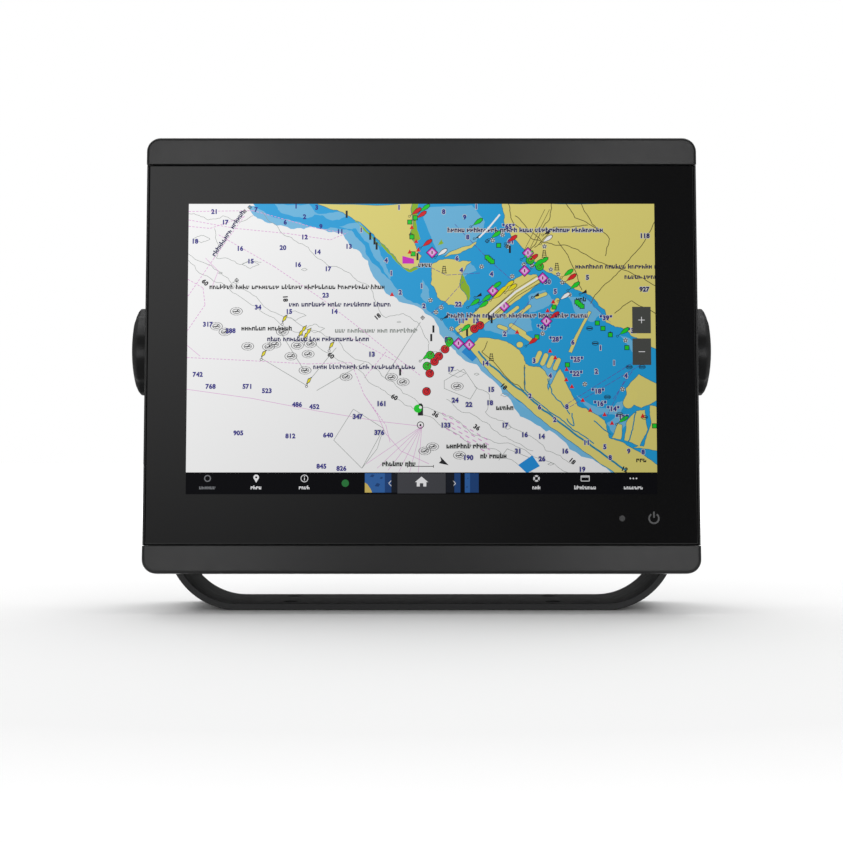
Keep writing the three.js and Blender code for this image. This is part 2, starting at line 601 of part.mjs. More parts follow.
function port({ x, radius, pins }) {
  const { mouth, floor, inner, wall, flange, flangeThickness, pinTip, pinRadius } = PORT;
  const seat = HOUSING.back + GAP;
  const hollow = radius - wall;
  const neck = radius - PORT.neckStep;
  const body = turnedY([
    [0, inner], [neck, inner], [neck, seat],
    [radius + flange, seat], [radius + flange, seat + flangeThickness], [radius, seat + flangeThickness],
    [radius, mouth], [hollow, mouth], [hollow, floor], [0, floor],
  ], x, PORT.z);
  const contacts = Array.from({ length: pins }, (_, index) => {
    const angle = (index / pins) * 2 * Math.PI;
    const reach = hollow * PORT.pinSpread;
    const spot = [x + reach * Math.cos(angle), PORT.z + reach * Math.sin(angle)];
    return rodY(pinRadius, floor - OVERCUT, pinTip, ...spot, PIN_SIDES);
  });
  return unite([body, ...contacts]);
}

function videoPortCap() {
  const { x, radius } = PORTS.find(({ name }) => name === "video_port");
  const plug = radius - PORT.wall - GAP;
  const seat = PORT.mouth + GAP;
  return turnedY([
    [0, CAP.plugFloor], [plug, CAP.plugFloor], [plug, seat], [radius + CAP.lip, seat],
    [radius + CAP.lip, seat + CAP.lipThickness - CAP.chamfer],
    [radius + CAP.lip - CAP.chamfer, seat + CAP.lipThickness],
    [0, seat + CAP.lipThickness],
  ], x, PORT.z);
}

function pressureVent() {
  const seat = HOUSING.back + GAP;
  const { radius, stem, height, chamfer } = VENT;
  const inner = WALL_INNER - OVERCUT;
  return turnedY([
    [0, inner], [stem, inner], [stem, seat], [radius, seat], [radius, seat + height - chamfer],
    [radius - chamfer, seat + height], [0, seat + height],
  ], VENT.x, VENT.z);
}

const cardSlotZ = (READER.bottom + READER.top) / 2;

function cardReader() {
  const body = box([READER.left, READER.right], [READER.back, READER.front], [READER.bottom, READER.top]);
  const halfHeight = CARD.thickness / 2 + GAP;
  const slots = CARD.x.map((x) => box(
    [x - CARD.halfWidth - GAP, x + CARD.halfWidth + GAP],
    [CARD.tip - CARD.length - GAP, READER.front + OVERCUT],
    [cardSlotZ - halfHeight, cardSlotZ + halfHeight],
  ));
  return cut(body, slots);
}

function memoryCard(x) {
  const { halfWidth, length, thickness, tip } = CARD;
  const heights = [cardSlotZ - thickness / 2, cardSlotZ + thickness / 2];
  return box([x - halfWidth, x + halfWidth], [tip - length, tip], heights);
}

function cardDoor() {
  const back = DOOR.front + DOOR.thickness;
  const leaf = box([DOOR.left, DOOR.right], [DOOR.front, back], [DOOR.bottom, DOOR.top]);
  const middle = (DOOR.left + DOOR.right) / 2;
  const { thumbHalfWidth, thumbHeight } = DOOR;
  const thumbLip = box(
    [middle - thumbHalfWidth, middle + thumbHalfWidth],
    [DOOR.front + WELL.padHeight, back + thumbHeight],
    [DOOR.top - thumbHeight, DOOR.top + WELL.padHeight]);
  const knuckle = rodX(DOOR.barrel, DOOR.knuckleLeft, DOOR.knuckleRight, DOOR.hingeY, DOOR.hingeZ);
  const web = box(
    [DOOR.knuckleLeft, DOOR.knuckleRight], [DOOR.front + GAP, back],
    [DOOR.hingeZ + DOOR.pin, DOOR.bottom + OVERCUT]);
  return unite([leaf, thumbLip, knuckle, web]).subtract(pinBore());
}

function doorGasket() {
  const { margin, width, radius } = GASKET;
  const halfWidth = (WELL.right - WELL.left) / 2 - margin;
  const outline = [halfWidth, WELL.bottom + margin, WELL.top - margin, radius];
  const back = DOOR.front - GAP;
  const ring = frame(outline, width, back - width, back);
  return ring.translate([(WELL.left + WELL.right) / 2, 0, 0]);
}

function doorHingePin() {
  const ends = [DOOR.knuckleLeft - DOOR.lug, DOOR.knuckleRight + DOOR.lug];
  return rodX(DOOR.pin, ...ends, DOOR.hingeY, DOOR.hingeZ, ROUND_SMALL);
}

// ---- tilt clamps -------------------------------------------------------------------------------

const ARM_INNER = BAIL.halfWidth - BAIL.thickness;
const WASHER_INNER = BAIL.halfWidth + GAP;
const WASHER_OUTER = WASHER_INNER + WASHER.thickness;
const KNOB_INNER = WASHER_OUTER + GAP;

const pivotInsert = (outward) => turnedX(
  ringProfile(PIVOT.insertBore, PIVOT.insertRadius, INSERT_INNER, INSERT_OUTER), outward);

const frictionDisc = (outward) => turnedX(
  ringProfile(DISC.bore, DISC.radius, HOUSING.halfWidth + GAP, ARM_INNER - GAP), outward, ROUND_DISC);

const clampWasher = (outward) => turnedX(
  ringProfile(WASHER.bore, WASHER.radius, WASHER_INNER, WASHER_OUTER), outward, ROUND_DISC);

// Distance along the axis of the knob's domed face at a given radius.
const domeAt = (radius) => KNOB.crown - (KNOB.crown - KNOB.face) * (radius / KNOB.faceRadius) ** 2;

function knob(outward) {
  const { radius, rim, edge, faceRadius, face, hub, recess, bore, capRadius, capFloor } = KNOB;
  const { headPocket, headFloor } = KNOB;
  const web = KNOB_INNER + recess;
  const mouth = capRadius + GAP;
  const body = turnedX([
    [bore, KNOB_INNER], [hub, KNOB_INNER], [hub, web],
    [radius - edge, web], [radius, web + edge], [radius, rim], [faceRadius, face],
    [mouth, domeAt(mouth)], [mouth, capFloor - GAP], [headPocket, capFloor - GAP], [headPocket, headFloor],
    [bore, headFloor], [bore, KNOB_INNER],
  ], outward, ROUND_FINE);
  const reach = radius - KNOB.fluteDepth + KNOB.fluteRadius;
  const ends = [outward * (web - OVERCUT), outward * (face + OVERCUT)].sort((a, b) => a - b);
  const flutes = Array.from({ length: KNOB.flutes }, (_, index) => {
    const angle = (index / KNOB.flutes) * 2 * Math.PI;
    return rodX(KNOB.fluteRadius, ...ends, reach * Math.cos(angle), reach * Math.sin(angle), ROUND_FINE);
  });
  return cut(body, flutes);
}

function knobStud(outward) {
  const { radius, head, inner } = STUD;
  const shoulder = KNOB.headFloor + GAP;
  const top = KNOB.capFloor - 2 * GAP;
  const profile = [[0, inner], [radius, inner], [radius, shoulder], [head, shoulder], [head, top], [0, top]];
  return turnedX(profile, outward);
}

function knobCap(outward) {
  const { capRadius, capFloor, crown } = KNOB;
  const half = capRadius / 2;
  return turnedX([
    [0, capFloor], [capRadius, capFloor], [capRadius, domeAt(capRadius)], [half, domeAt(half)], [0, crown],
  ], outward, ROUND_DISC);
}

// ---- assembly ----------------------------------------------------------------------------------

const display = new THREE.Group();
display.position.z = PIVOT_HEIGHT;
display.rotation.x = -TILT_BACK;

display.add(
  meshOf("front_bezel", frontBezel(), CASE_PLASTIC),
  meshOf("cover_glass", coverGlass(), GLASS_BLACK),
  meshOf("glass_adhesive", glassAdhesive(), RUBBER),
  meshOf("lcd_panel", lcdPlate(0, CELL_FRONT, CELL_BACK), SCREEN_GLASS),
  meshOf("backlight_unit", lcdPlate(LCD.trayWall + GAP, CELL_BACK + GAP, GUIDE_BACK), LIGHT_GUIDE),
  meshOf("lcd_tray", lcdTray(), STEEL),
  meshOf("top_trim", trim(TRIM.topSeam, TRIM.topEdge, true), TRIM_PLASTIC),
  meshOf("bottom_trim", trim(TRIM.bottomEdge, TRIM.bottomSeam, false), TRIM_PLASTIC),
  meshOf("key_board", keyBoard(), CIRCUIT),
  meshOf("light_sensor", lightSensor(), GLASS_BLACK),
  meshOf("rear_housing", rearHousing(), PAINTED_METAL),
  meshOf("housing_seal", housingSeal(), RUBBER),
  meshOf("main_board", mainBoard(), CIRCUIT),
  meshOf("processor_shield", processorShield(), STEEL),
  meshOf("heat_pad", heatPad(), RUBBER),
  meshOf("sonar_shield", sonarShield(), STEEL),
  meshOf("connector_board", connectorBoard(), CIRCUIT),
  meshOf("display_ribbon", displayRibbon(), RIBBON),
  meshOf("positioning_antenna", positioningAntenna(), CERAMIC),
  meshOf("beeper", beeper(), PORT_PLASTIC),
  meshOf("video_port_cap", videoPortCap(), RUBBER),
  meshOf("pressure_vent", pressureVent(), PORT_PLASTIC),
  meshOf("card_reader", cardReader(), STEEL),
  meshOf("card_door", cardDoor(), CASE_PLASTIC),
  meshOf("door_gasket", doorGasket(), RUBBER),
  meshOf("door_hinge_pin", doorHingePin(), STEEL),
);
PORTS.forEach((spec) => display.add(meshOf(spec.name, port(spec), PORT_PLASTIC)));
CARD.x.forEach((x, i) => display.add(meshOf(`memory_card_${i + 1}`, memoryCard(x), PORT_PLASTIC)));
caseScrewSpots.forEach(([x, z], i) => display.add(meshOf(`case_screw_${i + 1}`, caseScrew(x, z), STEEL)));
standoffSpots.forEach(([x, z], i) => display.add(meshOf(`board_screw_${i + 1}`, boardScrew(x, z), STEEL)));

for (const [side, outward] of [["left", -1], ["right", 1]]) {
  display.add(
    meshOf(`pivot_insert_${side}`, pivotInsert(outward), BRASS),
    meshOf(`friction_disc_${side}`, frictionDisc(outward), RUBBER),
    meshOf(`clamp_washer_${side}`, clampWasher(outward), STEEL),
    meshOf(`knob_${side}`, knob(outward), KNOB_PLASTIC),
    meshOf(`knob_stud_${side}`, knobStud(outward), STEEL),
    meshOf(`knob_cap_${side}`, knobCap(outward), KNOB_PLASTIC),
  );
}

const chartplotter = new THREE.Group();
chartplotter.add(meshOf("bail_bracket", bailBracket(), PAINTED_METAL), display);

export default chartplotter;
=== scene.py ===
"""Looks for the chartplotter display: lit chart, glass front, trims, knobs, bail and finned housing."""

import json
import math
import random

import bmesh
import bpy
from mathutils import Matrix, Vector

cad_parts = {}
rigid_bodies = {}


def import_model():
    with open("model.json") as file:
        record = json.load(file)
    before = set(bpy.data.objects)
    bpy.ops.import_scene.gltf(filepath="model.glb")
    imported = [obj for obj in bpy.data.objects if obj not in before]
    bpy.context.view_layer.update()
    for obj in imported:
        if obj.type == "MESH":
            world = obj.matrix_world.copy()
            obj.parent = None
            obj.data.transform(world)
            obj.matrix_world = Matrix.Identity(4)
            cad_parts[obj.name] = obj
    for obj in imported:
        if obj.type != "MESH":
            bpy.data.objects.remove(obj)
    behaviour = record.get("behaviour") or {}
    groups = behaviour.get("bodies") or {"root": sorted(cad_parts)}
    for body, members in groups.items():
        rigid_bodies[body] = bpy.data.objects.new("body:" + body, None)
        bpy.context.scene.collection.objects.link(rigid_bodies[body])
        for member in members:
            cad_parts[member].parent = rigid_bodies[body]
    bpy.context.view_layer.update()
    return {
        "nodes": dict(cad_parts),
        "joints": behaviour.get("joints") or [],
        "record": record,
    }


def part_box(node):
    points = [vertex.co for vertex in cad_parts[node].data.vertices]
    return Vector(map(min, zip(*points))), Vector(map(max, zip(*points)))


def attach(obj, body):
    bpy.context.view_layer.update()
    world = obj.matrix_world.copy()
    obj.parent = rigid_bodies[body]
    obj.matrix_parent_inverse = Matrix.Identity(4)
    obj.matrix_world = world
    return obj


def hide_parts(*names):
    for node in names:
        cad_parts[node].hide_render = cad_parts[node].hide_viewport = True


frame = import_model()

# ---- the frame's own coordinates ---------------------------------------------------------------

MM = 0.001
OVERCUT = 10 * MM  # how far a cutting block runs past the face it opens
SHARP = 1e-5  # a corner radius too small to see
NODES = frame["nodes"]
MOUNTS = {mount["name"]: mount for mount in frame["record"]["mounts"]}
JOINTS = {joint["name"]: joint for joint in frame["joints"]}

REAR_AXIS = MOUNTS["panel_flange"]["axis"]
TILT = math.atan2(-REAR_AXIS[2], REAR_AXIS[1])
PIVOT = Vector(JOINTS["tilt"]["pos_m"])
# The display's own axes, about the tilt axis: x along it, y backwards, z up the glass.
DISPLAY = Matrix.Translation(PIVOT) @ Matrix.Rotation(-TILT, 4, "X")
TO_DISPLAY = DISPLAY.inverted()
WORLD = Matrix.Identity(4)


def corners(points):
    """Lowest and highest corner of some points."""
    columns = list(zip(*points))
    return Vector([min(c) for c in columns]), Vector([max(c) for c in columns])


def display_box(node):
    """A CAD node's box in the display's own axes, in metres."""
    return corners([tuple(TO_DISPLAY @ vertex.co) for vertex in NODES[node].data.vertices])


# ---- mesh building -----------------------------------------------------------------------------


def mesh_from(vertices, faces):
    """A mesh with shared corners joined and its faces turned outwards."""
    mesh = bpy.data.meshes.new("shape")
    mesh.from_pydata([tuple(v) for v in vertices], [], faces)
    tidy = bmesh.new()
    tidy.from_mesh(mesh)
    bmesh.ops.remove_doubles(tidy, verts=tidy.verts, dist=1e-7)
    bmesh.ops.recalc_face_normals(tidy, faces=tidy.faces)
    tidy.to_mesh(mesh)
    tidy.free()
    return mesh


def loft(rings):
    """A closed solid through rings of equal point counts, capped at both ends."""
    count = len(rings[0])
    vertices = [p for ring in rings for p in ring]
    faces = []
    for level in range(len(rings) - 1):
        low, high = level * count, (level + 1) * count
        for i in range(count):
            j = (i + 1) % count
            faces.append((low + i, low + j, high + j, high + i))
    faces.append(tuple(range(count)))
    faces.append(tuple(reversed(range(len(vertices) - count, len(vertices)))))
    return mesh_from(vertices, faces)


def rounded(half, z0, z1, low_radius, high_radius, steps=8, x_mid=0.0):
    """Points of an upright rectangle with its own lower and upper corner radii."""
    points = []
    spots = (
        (half - low_radius, z0 + low_radius, low_radius, -90),
        (half - high_radius, z1 - high_radius, high_radius, 0),
        (-half + high_radius, z1 - high_radius, high_radius, 90),
        (-half + low_radius, z0 + low_radius, low_radius, 180),
    )
    for x, z, radius, start in spots:
        for step in range(steps + 1):
            angle = math.radians(start + 90 * step / steps)
            points.append((x_mid + x + radius * math.cos(angle), z + radius * math.sin(angle)))
    return points


def slab(half, z0, z1, low_radius, high_radius, y_front, y_back, edge=0.0, edge_steps=4, steps=8,
         x_mid=0.0):
    """A rounded rectangle plate whose front edge is rounded over by edge."""

    def ring(inset, y):
        radii = [max(r - inset, SHARP) for r in (low_radius, high_radius)]
        outline = rounded(half - inset, z0 + inset, z1 - inset, *radii, steps, x_mid)
        return [(x, y, z) for x, z in outline]

    rings = [ring(0, y_back)]
    direction = 1 if y_back > y_front else -1
    for step in range(edge_steps + 1 if edge else 1):
        angle = math.pi / 2 * step / edge_steps
        rings.append(ring(edge * (1 - math.cos(angle)), y_front + direction * edge * (1 - math.sin(angle))))
    return loft(rings)


def block(x, y, z):
    """A box from three (low, high) spans."""
    base = [(x[0], z[0]), (x[1], z[0]), (x[1], z[1]), (x[0], z[1])]
    return loft([[(px, level, pz) for px, pz in base] for level in y])


def turned(profile, sides=48, centre=(0, 0, 0), axis="Y", outward=1, wave=None):
    """A solid turned from (radius, distance, wave share) points; a ring if it starts off the axis."""
    vertices, faces = [], []
    for radius, along, *share in profile:
        for side in range(sides):
            angle = 2 * math.pi * side / sides
            bent = radius - (share[0] * wave(angle) if share and wave else 0)
            a, b = bent * math.cos(angle), bent * math.sin(angle)
            point = (a, along, b) if axis == "Y" else (outward * along, a, b)
            vertices.append(Vector(point) + Vector(centre))
    levels = len(profile)
    for level in range(levels if profile[0][0] > 0 else levels - 1):
        low, high = level * sides, ((level + 1) % levels) * sides
        for i in range(sides):
            j = (i + 1) % sides
            faces.append((low + i, low + j, high + j, high + i))
    return mesh_from(vertices, faces)


def joined(meshes):
    """One mesh that holds several closed ones."""
    result = bmesh.new()
    for mesh in meshes:
        result.from_mesh(mesh)
    mesh = bpy.data.meshes.new("joined")
    result.to_mesh(mesh)
    result.free()
    return mesh


def combine(mesh, others, operation):
    """Joins or cuts mesh with each of the others in turn."""
    base = bpy.data.objects.new("base", mesh)
    bpy.context.scene.collection.objects.link(base)
    tools = []
    for other in others:
        tool = bpy.data.objects.new("tool", other)
        bpy.context.scene.collection.objects.link(tool)
        modifier = base.modifiers.new("combine", "BOOLEAN")
        modifier.operation = operation
        modifier.solver = "EXACT"
        modifier.object = tool
        tools.append(tool)
    graph = bpy.context.evaluated_depsgraph_get()
    result = bpy.data.meshes.new_from_object(base.evaluated_get(graph))
    for spent in [base, *tools]:
        bpy.data.objects.remove(spent)
    return result


def add(mesh, others):
    """The mesh joined with the others."""
    return combine(mesh, others, "UNION")


def cut(mesh, others):
    """The mesh with the others taken out of it."""
    return combine(mesh, others, "DIFFERENCE")


def even_normals(piece):
    """Large flat faces keep their own direction; only the rounded edges between them blend."""
    modifier = piece.modifiers.new("normals", "WEIGHTED_NORMAL")
    modifier.weight = 100
    modifier.keep_sharp = True


def place(name, mesh, body, material, replaces=(), matrix=DISPLAY, bevel=0.0, smooth_angle=32):
    """A finished piece: placed, smoothed, painted and riding on its body."""
    mesh.name = name
    piece = bpy.data.objects.new(name, mesh)
    bpy.context.scene.collection.objects.link(piece)
    piece.matrix_world = matrix
    mesh.materials.clear()
    mesh.materials.append(material)
    for polygon in mesh.polygons:
        polygon.material_index = 0
        polygon.use_smooth = True
    if bevel:
        modifier = piece.modifiers.new("edges", "BEVEL")
        modifier.width = bevel
        modifier.segments = 2
        modifier.limit_method = "ANGLE"
        modifier.angle_limit = math.radians(smooth_angle)
    mesh.set_sharp_from_angle(angle=math.radians(smooth_angle))
    even_normals(piece)
    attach(piece, body)
    if replaces:
        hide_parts(*replaces)


# ---- materials ---------------------------------------------------------------------------------


class Paint:
    """A node material built step by step on one Principled shader."""

    def __init__(self, name):
        self.material = bpy.data.materials.new(name)
        self.material.use_nodes = True
        self.tree = self.material.node_tree
        self.shader = self.tree.nodes["Principled BSDF"]
        self.coords = self.tree.nodes.new("ShaderNodeTexCoord").outputs["Object"]

    def link(self, source, target):
        self.tree.links.new(source, target)

    def set(self, **values):
        for key, value in values.items():
            self.shader.inputs[key.replace("_", " ")].default_value = value
        return self

    def noise(self, scale, detail=3.0, roughness=0.5, stretch=None):
        node = self.tree.nodes.new("ShaderNodeTexNoise")
        node.inputs["Scale"].default_value = scale
        node.inputs["Detail"].default_value = detail
        node.inputs["Roughness"].default_value = roughness
        source = self.coords
        if stretch:
            mapping = self.tree.nodes.new("ShaderNodeMapping")
            mapping.inputs["Scale"].default_value = stretch
            self.link(source, mapping.inputs["Vector"])
            source = mapping.outputs["Vector"]
        self.link(source, node.inputs["Vector"])
        return node.outputs["Fac"]

    def ranged(self, value, low, high, from_low=0.3, from_high=0.7):
        node = self.tree.nodes.new("ShaderNodeMapRange")
        self.link(value, node.inputs["Value"])
        for key, number in (("From Min", from_low), ("From Max", from_high), ("To Min", low),
                            ("To Max", high)):
            node.inputs[key].default_value = number
        return node.outputs["Result"]

    def mixed(self, factor, low, high):
        node = self.tree.nodes.new("ShaderNodeMix")
        node.data_type = "RGBA"
        self.link(factor, node.inputs["Factor"])
        node.inputs["A"].default_value = (*low, 1)
        node.inputs["B"].default_value = (*high, 1)
        return node.outputs["Result"]

    def colour(self, source):
        self.link(source, self.shader.inputs["Base Color"])
        return self

    def rough(self, source):
        self.link(source, self.shader.inputs["Roughness"])
        return self

    def bump(self, height, depth, strength=1.0):
        node = self.tree.nodes.new("ShaderNodeBump")
        node.inputs["Strength"].default_value = strength
        node.inputs["Distance"].default_value = depth
        self.link(height, node.inputs["Height"])
        self.link(node.outputs["Normal"], self.shader.inputs["Normal"])
        return self


def grey(level):
    """A dark grey with a breath of blue."""
    return (level, level * 1.005, level * 1.03)


def moulded(name, level, roughness, grain=2600, depth=2.2e-5, spread=0.18, specular=0.5, wear=0.055):
    """Moulded plastic with a fine spark-eroded grain and slight cloudy variation."""
    paint = Paint(name).set(Specular_IOR_Level=specular)
    cloud = paint.noise(18, 4)
    paint.colour(paint.mixed(cloud, grey(level * (1 - spread)), grey(level * (1 + spread))))
    paint.rough(paint.ranged(paint.noise(160, 5), roughness - wear, roughness + wear))
    return paint.bump(paint.noise(grain, 2, 0.6), depth).material


def powder_coat(name, level, roughness, depth=4.5e-5, specular=0.5):
    """Powder-coated metal: orange-peel pebbles with a satin sheen."""
    paint = Paint(name).set(Specular_IOR_Level=specular)
    cloud = paint.noise(14, 4)
    paint.colour(paint.mixed(cloud, grey(level * 0.85), grey(level * 1.15)))
    paint.rough(paint.ranged(paint.noise(220, 4), roughness - 0.05, roughness + 0.07))
    return paint.bump(paint.noise(1500, 3, 0.55), depth).material


def rubber(name, level=0.012):
    """Matt moulded rubber with a dusty sheen."""
    paint = Paint(name).set(Sheen_Weight=0.15)
    paint.colour(paint.mixed(paint.noise(40, 4), grey(level * 0.8), grey(level * 1.4)))
    paint.rough(paint.ranged(paint.noise(300, 4), 0.72, 0.88))
    return paint.bump(paint.noise(1800, 3), 3e-5).material


def turned_metal(name, colour, roughness=0.3, lines=900):
    """Bare metal with fine machining lines round the tilt axis and slight tarnish."""
    paint = Paint(name).set(Metallic=1.0)
    darker = tuple(c * 0.78 for c in colour)
    paint.colour(paint.mixed(paint.noise(60, 5), darker, colour))
    paint.rough(paint.ranged(paint.noise(400, 4), roughness - 0.08, roughness + 0.12))
    return paint.bump(paint.noise(lines, 2, 0.5, stretch=(6, 1, 1)), 8e-6).material


def circuit(name):
    """Green solder mask with copper tracks just visible under it."""
    paint = Paint(name).set(Coat_Weight=0.5, Coat_Roughness=0.2)
    tracks = paint.ranged(paint.noise(420, 1, stretch=(1, 1, 0.12)), 0, 1, 0.49, 0.53)
    paint.colour(paint.mixed(tracks, (0.008, 0.07, 0.03), (0.02, 0.16, 0.06)))
    paint.rough(paint.ranged(paint.noise(200, 3), 0.35, 0.5))
    return paint.bump(tracks, 2e-5).material


def ribbon(name):
    """Amber polyimide film with fine parallel copper tracks."""
    paint = Paint(name).set(Coat_Weight=0.4, Coat_Roughness=0.15)
    tracks = paint.ranged(paint.noise(900, 1, stretch=(1, 0.02, 0.02)), 0, 1, 0.45, 0.55)
    paint.colour(paint.mixed(tracks, (0.42, 0.16, 0.03), (0.62, 0.27, 0.06)))
    paint.rough(paint.ranged(paint.noise(180, 3), 0.3, 0.42))
    return paint.bump(tracks, 1.2e-5).material


def front_glass(name):
    """Black-backed touch glass: deep gloss with the faintest smears in its roughness."""
    paint = Paint(name).set(IOR=1.5)
    paint.colour(paint.mixed(paint.noise(9, 2), (0.0014, 0.0014, 0.0016), (0.0024, 0.0024, 0.0027)))
    return paint.rough(paint.ranged(paint.noise(26, 6, 0.6), 0.035, 0.075)).material


def lit(name, colour, gloss=0.5, corner=0.9):
    """Backlit screen ink with painted glare: brightest at the upper left, a little dimmer to the right and
    below.
    """
    paint = Paint(name).set(IOR=1.5, Base_Color=(0.004, 0.004, 0.005, 1), Specular_IOR_Level=gloss)
    split = paint.tree.nodes.new("ShaderNodeSeparateXYZ")
    paint.link(paint.coords, split.inputs["Vector"])
    # Painted glare: the glow falls from the left edge to the right and is lowered towards the bottom.
    across = paint.ranged(split.outputs["X"], corner, corner - 0.2, -SCREEN_W / 2, SCREEN_W / 2)
    up = paint.ranged(split.outputs["Z"], -0.13, 0, SCREEN_Z0, SCREEN_Z0 + SCREEN_H)
    total = paint.tree.nodes.new("ShaderNodeMath")
    total.operation = "ADD"
    paint.link(across, total.inputs[0])
    paint.link(up, total.inputs[1])
    paint.link(total.outputs[0], paint.shader.inputs["Emission Strength"])
    paint.shader.inputs["Emission Color"].default_value = (*colour, 1)
    paint.rough(paint.ranged(paint.noise(26, 6, 0.6), 0.04, 0.08))
    return paint.material


# ---- the screen's rectangle ---------------------------------------------------------------------

W, H = 216.96, 135.6  # lit area in mm of a 10.1 inch 16:10 panel, a little above the middle of the glass
SCREEN_W, SCREEN_H = W * MM, H * MM
GLASS_LOW, GLASS_HIGH = display_box("cover_glass")
SCREEN_Z0 = GLASS_LOW.z + 23 * MM
GLASS_Y = GLASS_LOW.y

CASE_PLASTIC = moulded("case_plastic_skin", 0.012, 0.5)
TRIM_PLASTIC = moulded("trim_plastic_skin", 0.014, 0.23, grain=3200, depth=0.7e-5, spread=0.06,
                       specular=0.26, wear=0.012)
KNOB_PLASTIC = moulded("knob_plastic_skin", 0.013, 0.55, grain=2200, depth=2.5e-5, specular=0.05)
PORT_PLASTIC = moulded("port_plastic_skin", 0.009, 0.42)
BAIL_PAINT = powder_coat("bail_paint_skin", 0.012, 0.62, specular=0.04)
HOUSING_PAINT = powder_coat("housing_paint_skin", 0.013, 0.48, depth=7e-5)
RUBBER = rubber("black_rubber_skin")
STEEL = turned_metal("steel_skin", (0.52, 0.53, 0.55))
BRASS = turned_metal("brass_skin", (0.66, 0.47, 0.2), 0.28)
CIRCUIT = circuit("circuit_board_skin")
CERAMIC = moulded("ceramic_skin", 0.55, 0.42, grain=900, depth=1.5e-5, spread=0.06)
DIFFUSER = moulded("light_guide_skin", 0.7, 0.3, grain=1800, depth=1e-5, spread=0.04)
GLASS = front_glass("front_glass_skin")
PANEL = front_glass("panel_skin")
RIBBON = ribbon("ribbon_cable_skin")
SYMBOL_LIGHT = moulded("symbol_print", 0.105, 0.3)
SYMBOL_DARK = moulded("sensor_print", 0.06, 0.25)

# ---- bail --------------------------------------------------------------------------------------


BAIL_THICK, BAIL_BEND, BAIL_EDGE = 3.2 * MM, 33 * MM, 0.6 * MM
BAIL_TAPER = (24 * MM, 84 * MM)  # heights between which the arms narrow
BAIL_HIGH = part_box("bail_bracket")[1]
BAIL_EYE = BAIL_HIGH.z - PIVOT.z  # radius of the round top of each arm


def bail_half_width(z):
    """Half the strip's width at a height: the foot's, then eased to the eye's, then the round end's."""
    start, end = BAIL_TAPER
    foot = BAIL_HIGH.y
    if z <= start:
        return foot
    if z >= PIVOT.z:
        return math.sqrt(max(BAIL_EYE ** 2 - (z - PIVOT.z) ** 2, 1e-12))
    share = min((z - start) / (end - start), 1)
    ease = share * share * (3 - 2 * share)
    return foot + (BAIL_EYE - foot) * ease


def bail_section(width):
    """Rounded section of the strip as (across, through) points; the same count at every width."""
    half = BAIL_THICK / 2
    round_over = min(BAIL_EDGE, width * 0.5)
    points = []
    for sy, ss, start in ((1, 1, 0), (-1, 1, 90), (-1, -1, 180), (1, -1, 270)):
        for step in range(4):
            angle = math.radians(start + 90 * step / 3)
            points.append((
                sy * (width - round_over) + round_over * math.cos(angle),
                ss * (half - BAIL_EDGE) + BAIL_EDGE * math.sin(angle),
            ))
    return points


def bail_stations():
    """Points along the strip's middle, from the foot's centre up one arm, with their outward normals."""
    foot_steps, bend_steps, arm_steps, eye_steps = 36, 24, 40, 14
    half_x, mid_bend = BAIL_HIGH.x, BAIL_BEND - BAIL_THICK / 2
    path = [((half_x - BAIL_BEND) * step / foot_steps, 0.0) for step in range(foot_steps + 1)]
    path += [(half_x - BAIL_BEND, math.pi / 2 * step / bend_steps) for step in range(1, bend_steps + 1)]
    stations = []
    for x, angle in path:
        centre = (x + mid_bend * math.sin(angle), BAIL_BEND - mid_bend * math.cos(angle))
        stations.append((centre, (math.sin(angle), -math.cos(angle))))
    heights = [BAIL_BEND + (PIVOT.z - BAIL_BEND) * step / arm_steps for step in range(1, arm_steps + 1)]
    heights += [PIVOT.z + BAIL_EYE * math.sin(math.pi / 2 * step / eye_steps)
                for step in range(1, eye_steps + 1)]
    return stations + [((half_x - BAIL_THICK / 2, z), (1.0, 0.0)) for z in heights]


def bail_mesh():
    """The bent strip, whose width narrows up each arm to a round eye."""
    rows = []
    for (x, z), (nx, nz) in bail_stations():
        section = bail_section(max(bail_half_width(z), 1e-4))
        rows.append([(x + nx * side, across, z + nz * side) for across, side in section])
    mirrored = [[(-x, y, z) for x, y, z in row] for row in rows[:0:-1]]
    return loft(mirrored + rows)


def rod(radius, start, end, sides=40):
    """A plain cylinder between two points, for cutting round holes."""
    start, end = Vector(start), Vector(end)
    turn = (end - start).to_track_quat("Y", "Z").to_matrix().to_4x4()
    mesh = turned([(0, 0), (radius, 0), (radius, (end - start).length), (0, (end - start).length)], sides)
    mesh.transform(Matrix.Translation(start) @ turn)
    return mesh


def make_bail():
    reach = BAIL_HIGH.x + OVERCUT
    pivot_radius, screw_radius, sink_radius = 4.2 * MM, 2.7 * MM, 4.2 * MM
    sink_low, sink_high = 2 * MM, 3.6 * MM
    sink = [(0, sink_low), (screw_radius, sink_low), (sink_radius, sink_high), (0, sink_high)]
    holes = [rod(pivot_radius, (-reach, 0, PIVOT.z), (reach, 0, PIVOT.z))]
    for x in (-62 * MM, 62 * MM):
        for y in (-15 * MM, 15 * MM):
            holes.append(rod(screw_radius, (x, y, -OVERCUT), (x, y, OVERCUT)))
            holes.append(turned_upright(sink, x, y))
    place("bail_strip", cut(bail_mesh(), holes), "bail", BAIL_PAINT, ["bail_bracket"],
          matrix=WORLD, bevel=0.25 * MM, smooth_angle=40)


def turned_upright(profile, x, y):
    """A solid turned about a vertical axis from (radius, height) points."""
    mesh = turned(profile, 40)
    mesh.transform(Matrix.Translation((x, y, 0)) @ Matrix.Rotation(math.pi / 2, 4, "X"))
    return mesh


make_bail()

# ---- front: trims, glass, rim ------------------------------------------------------------------


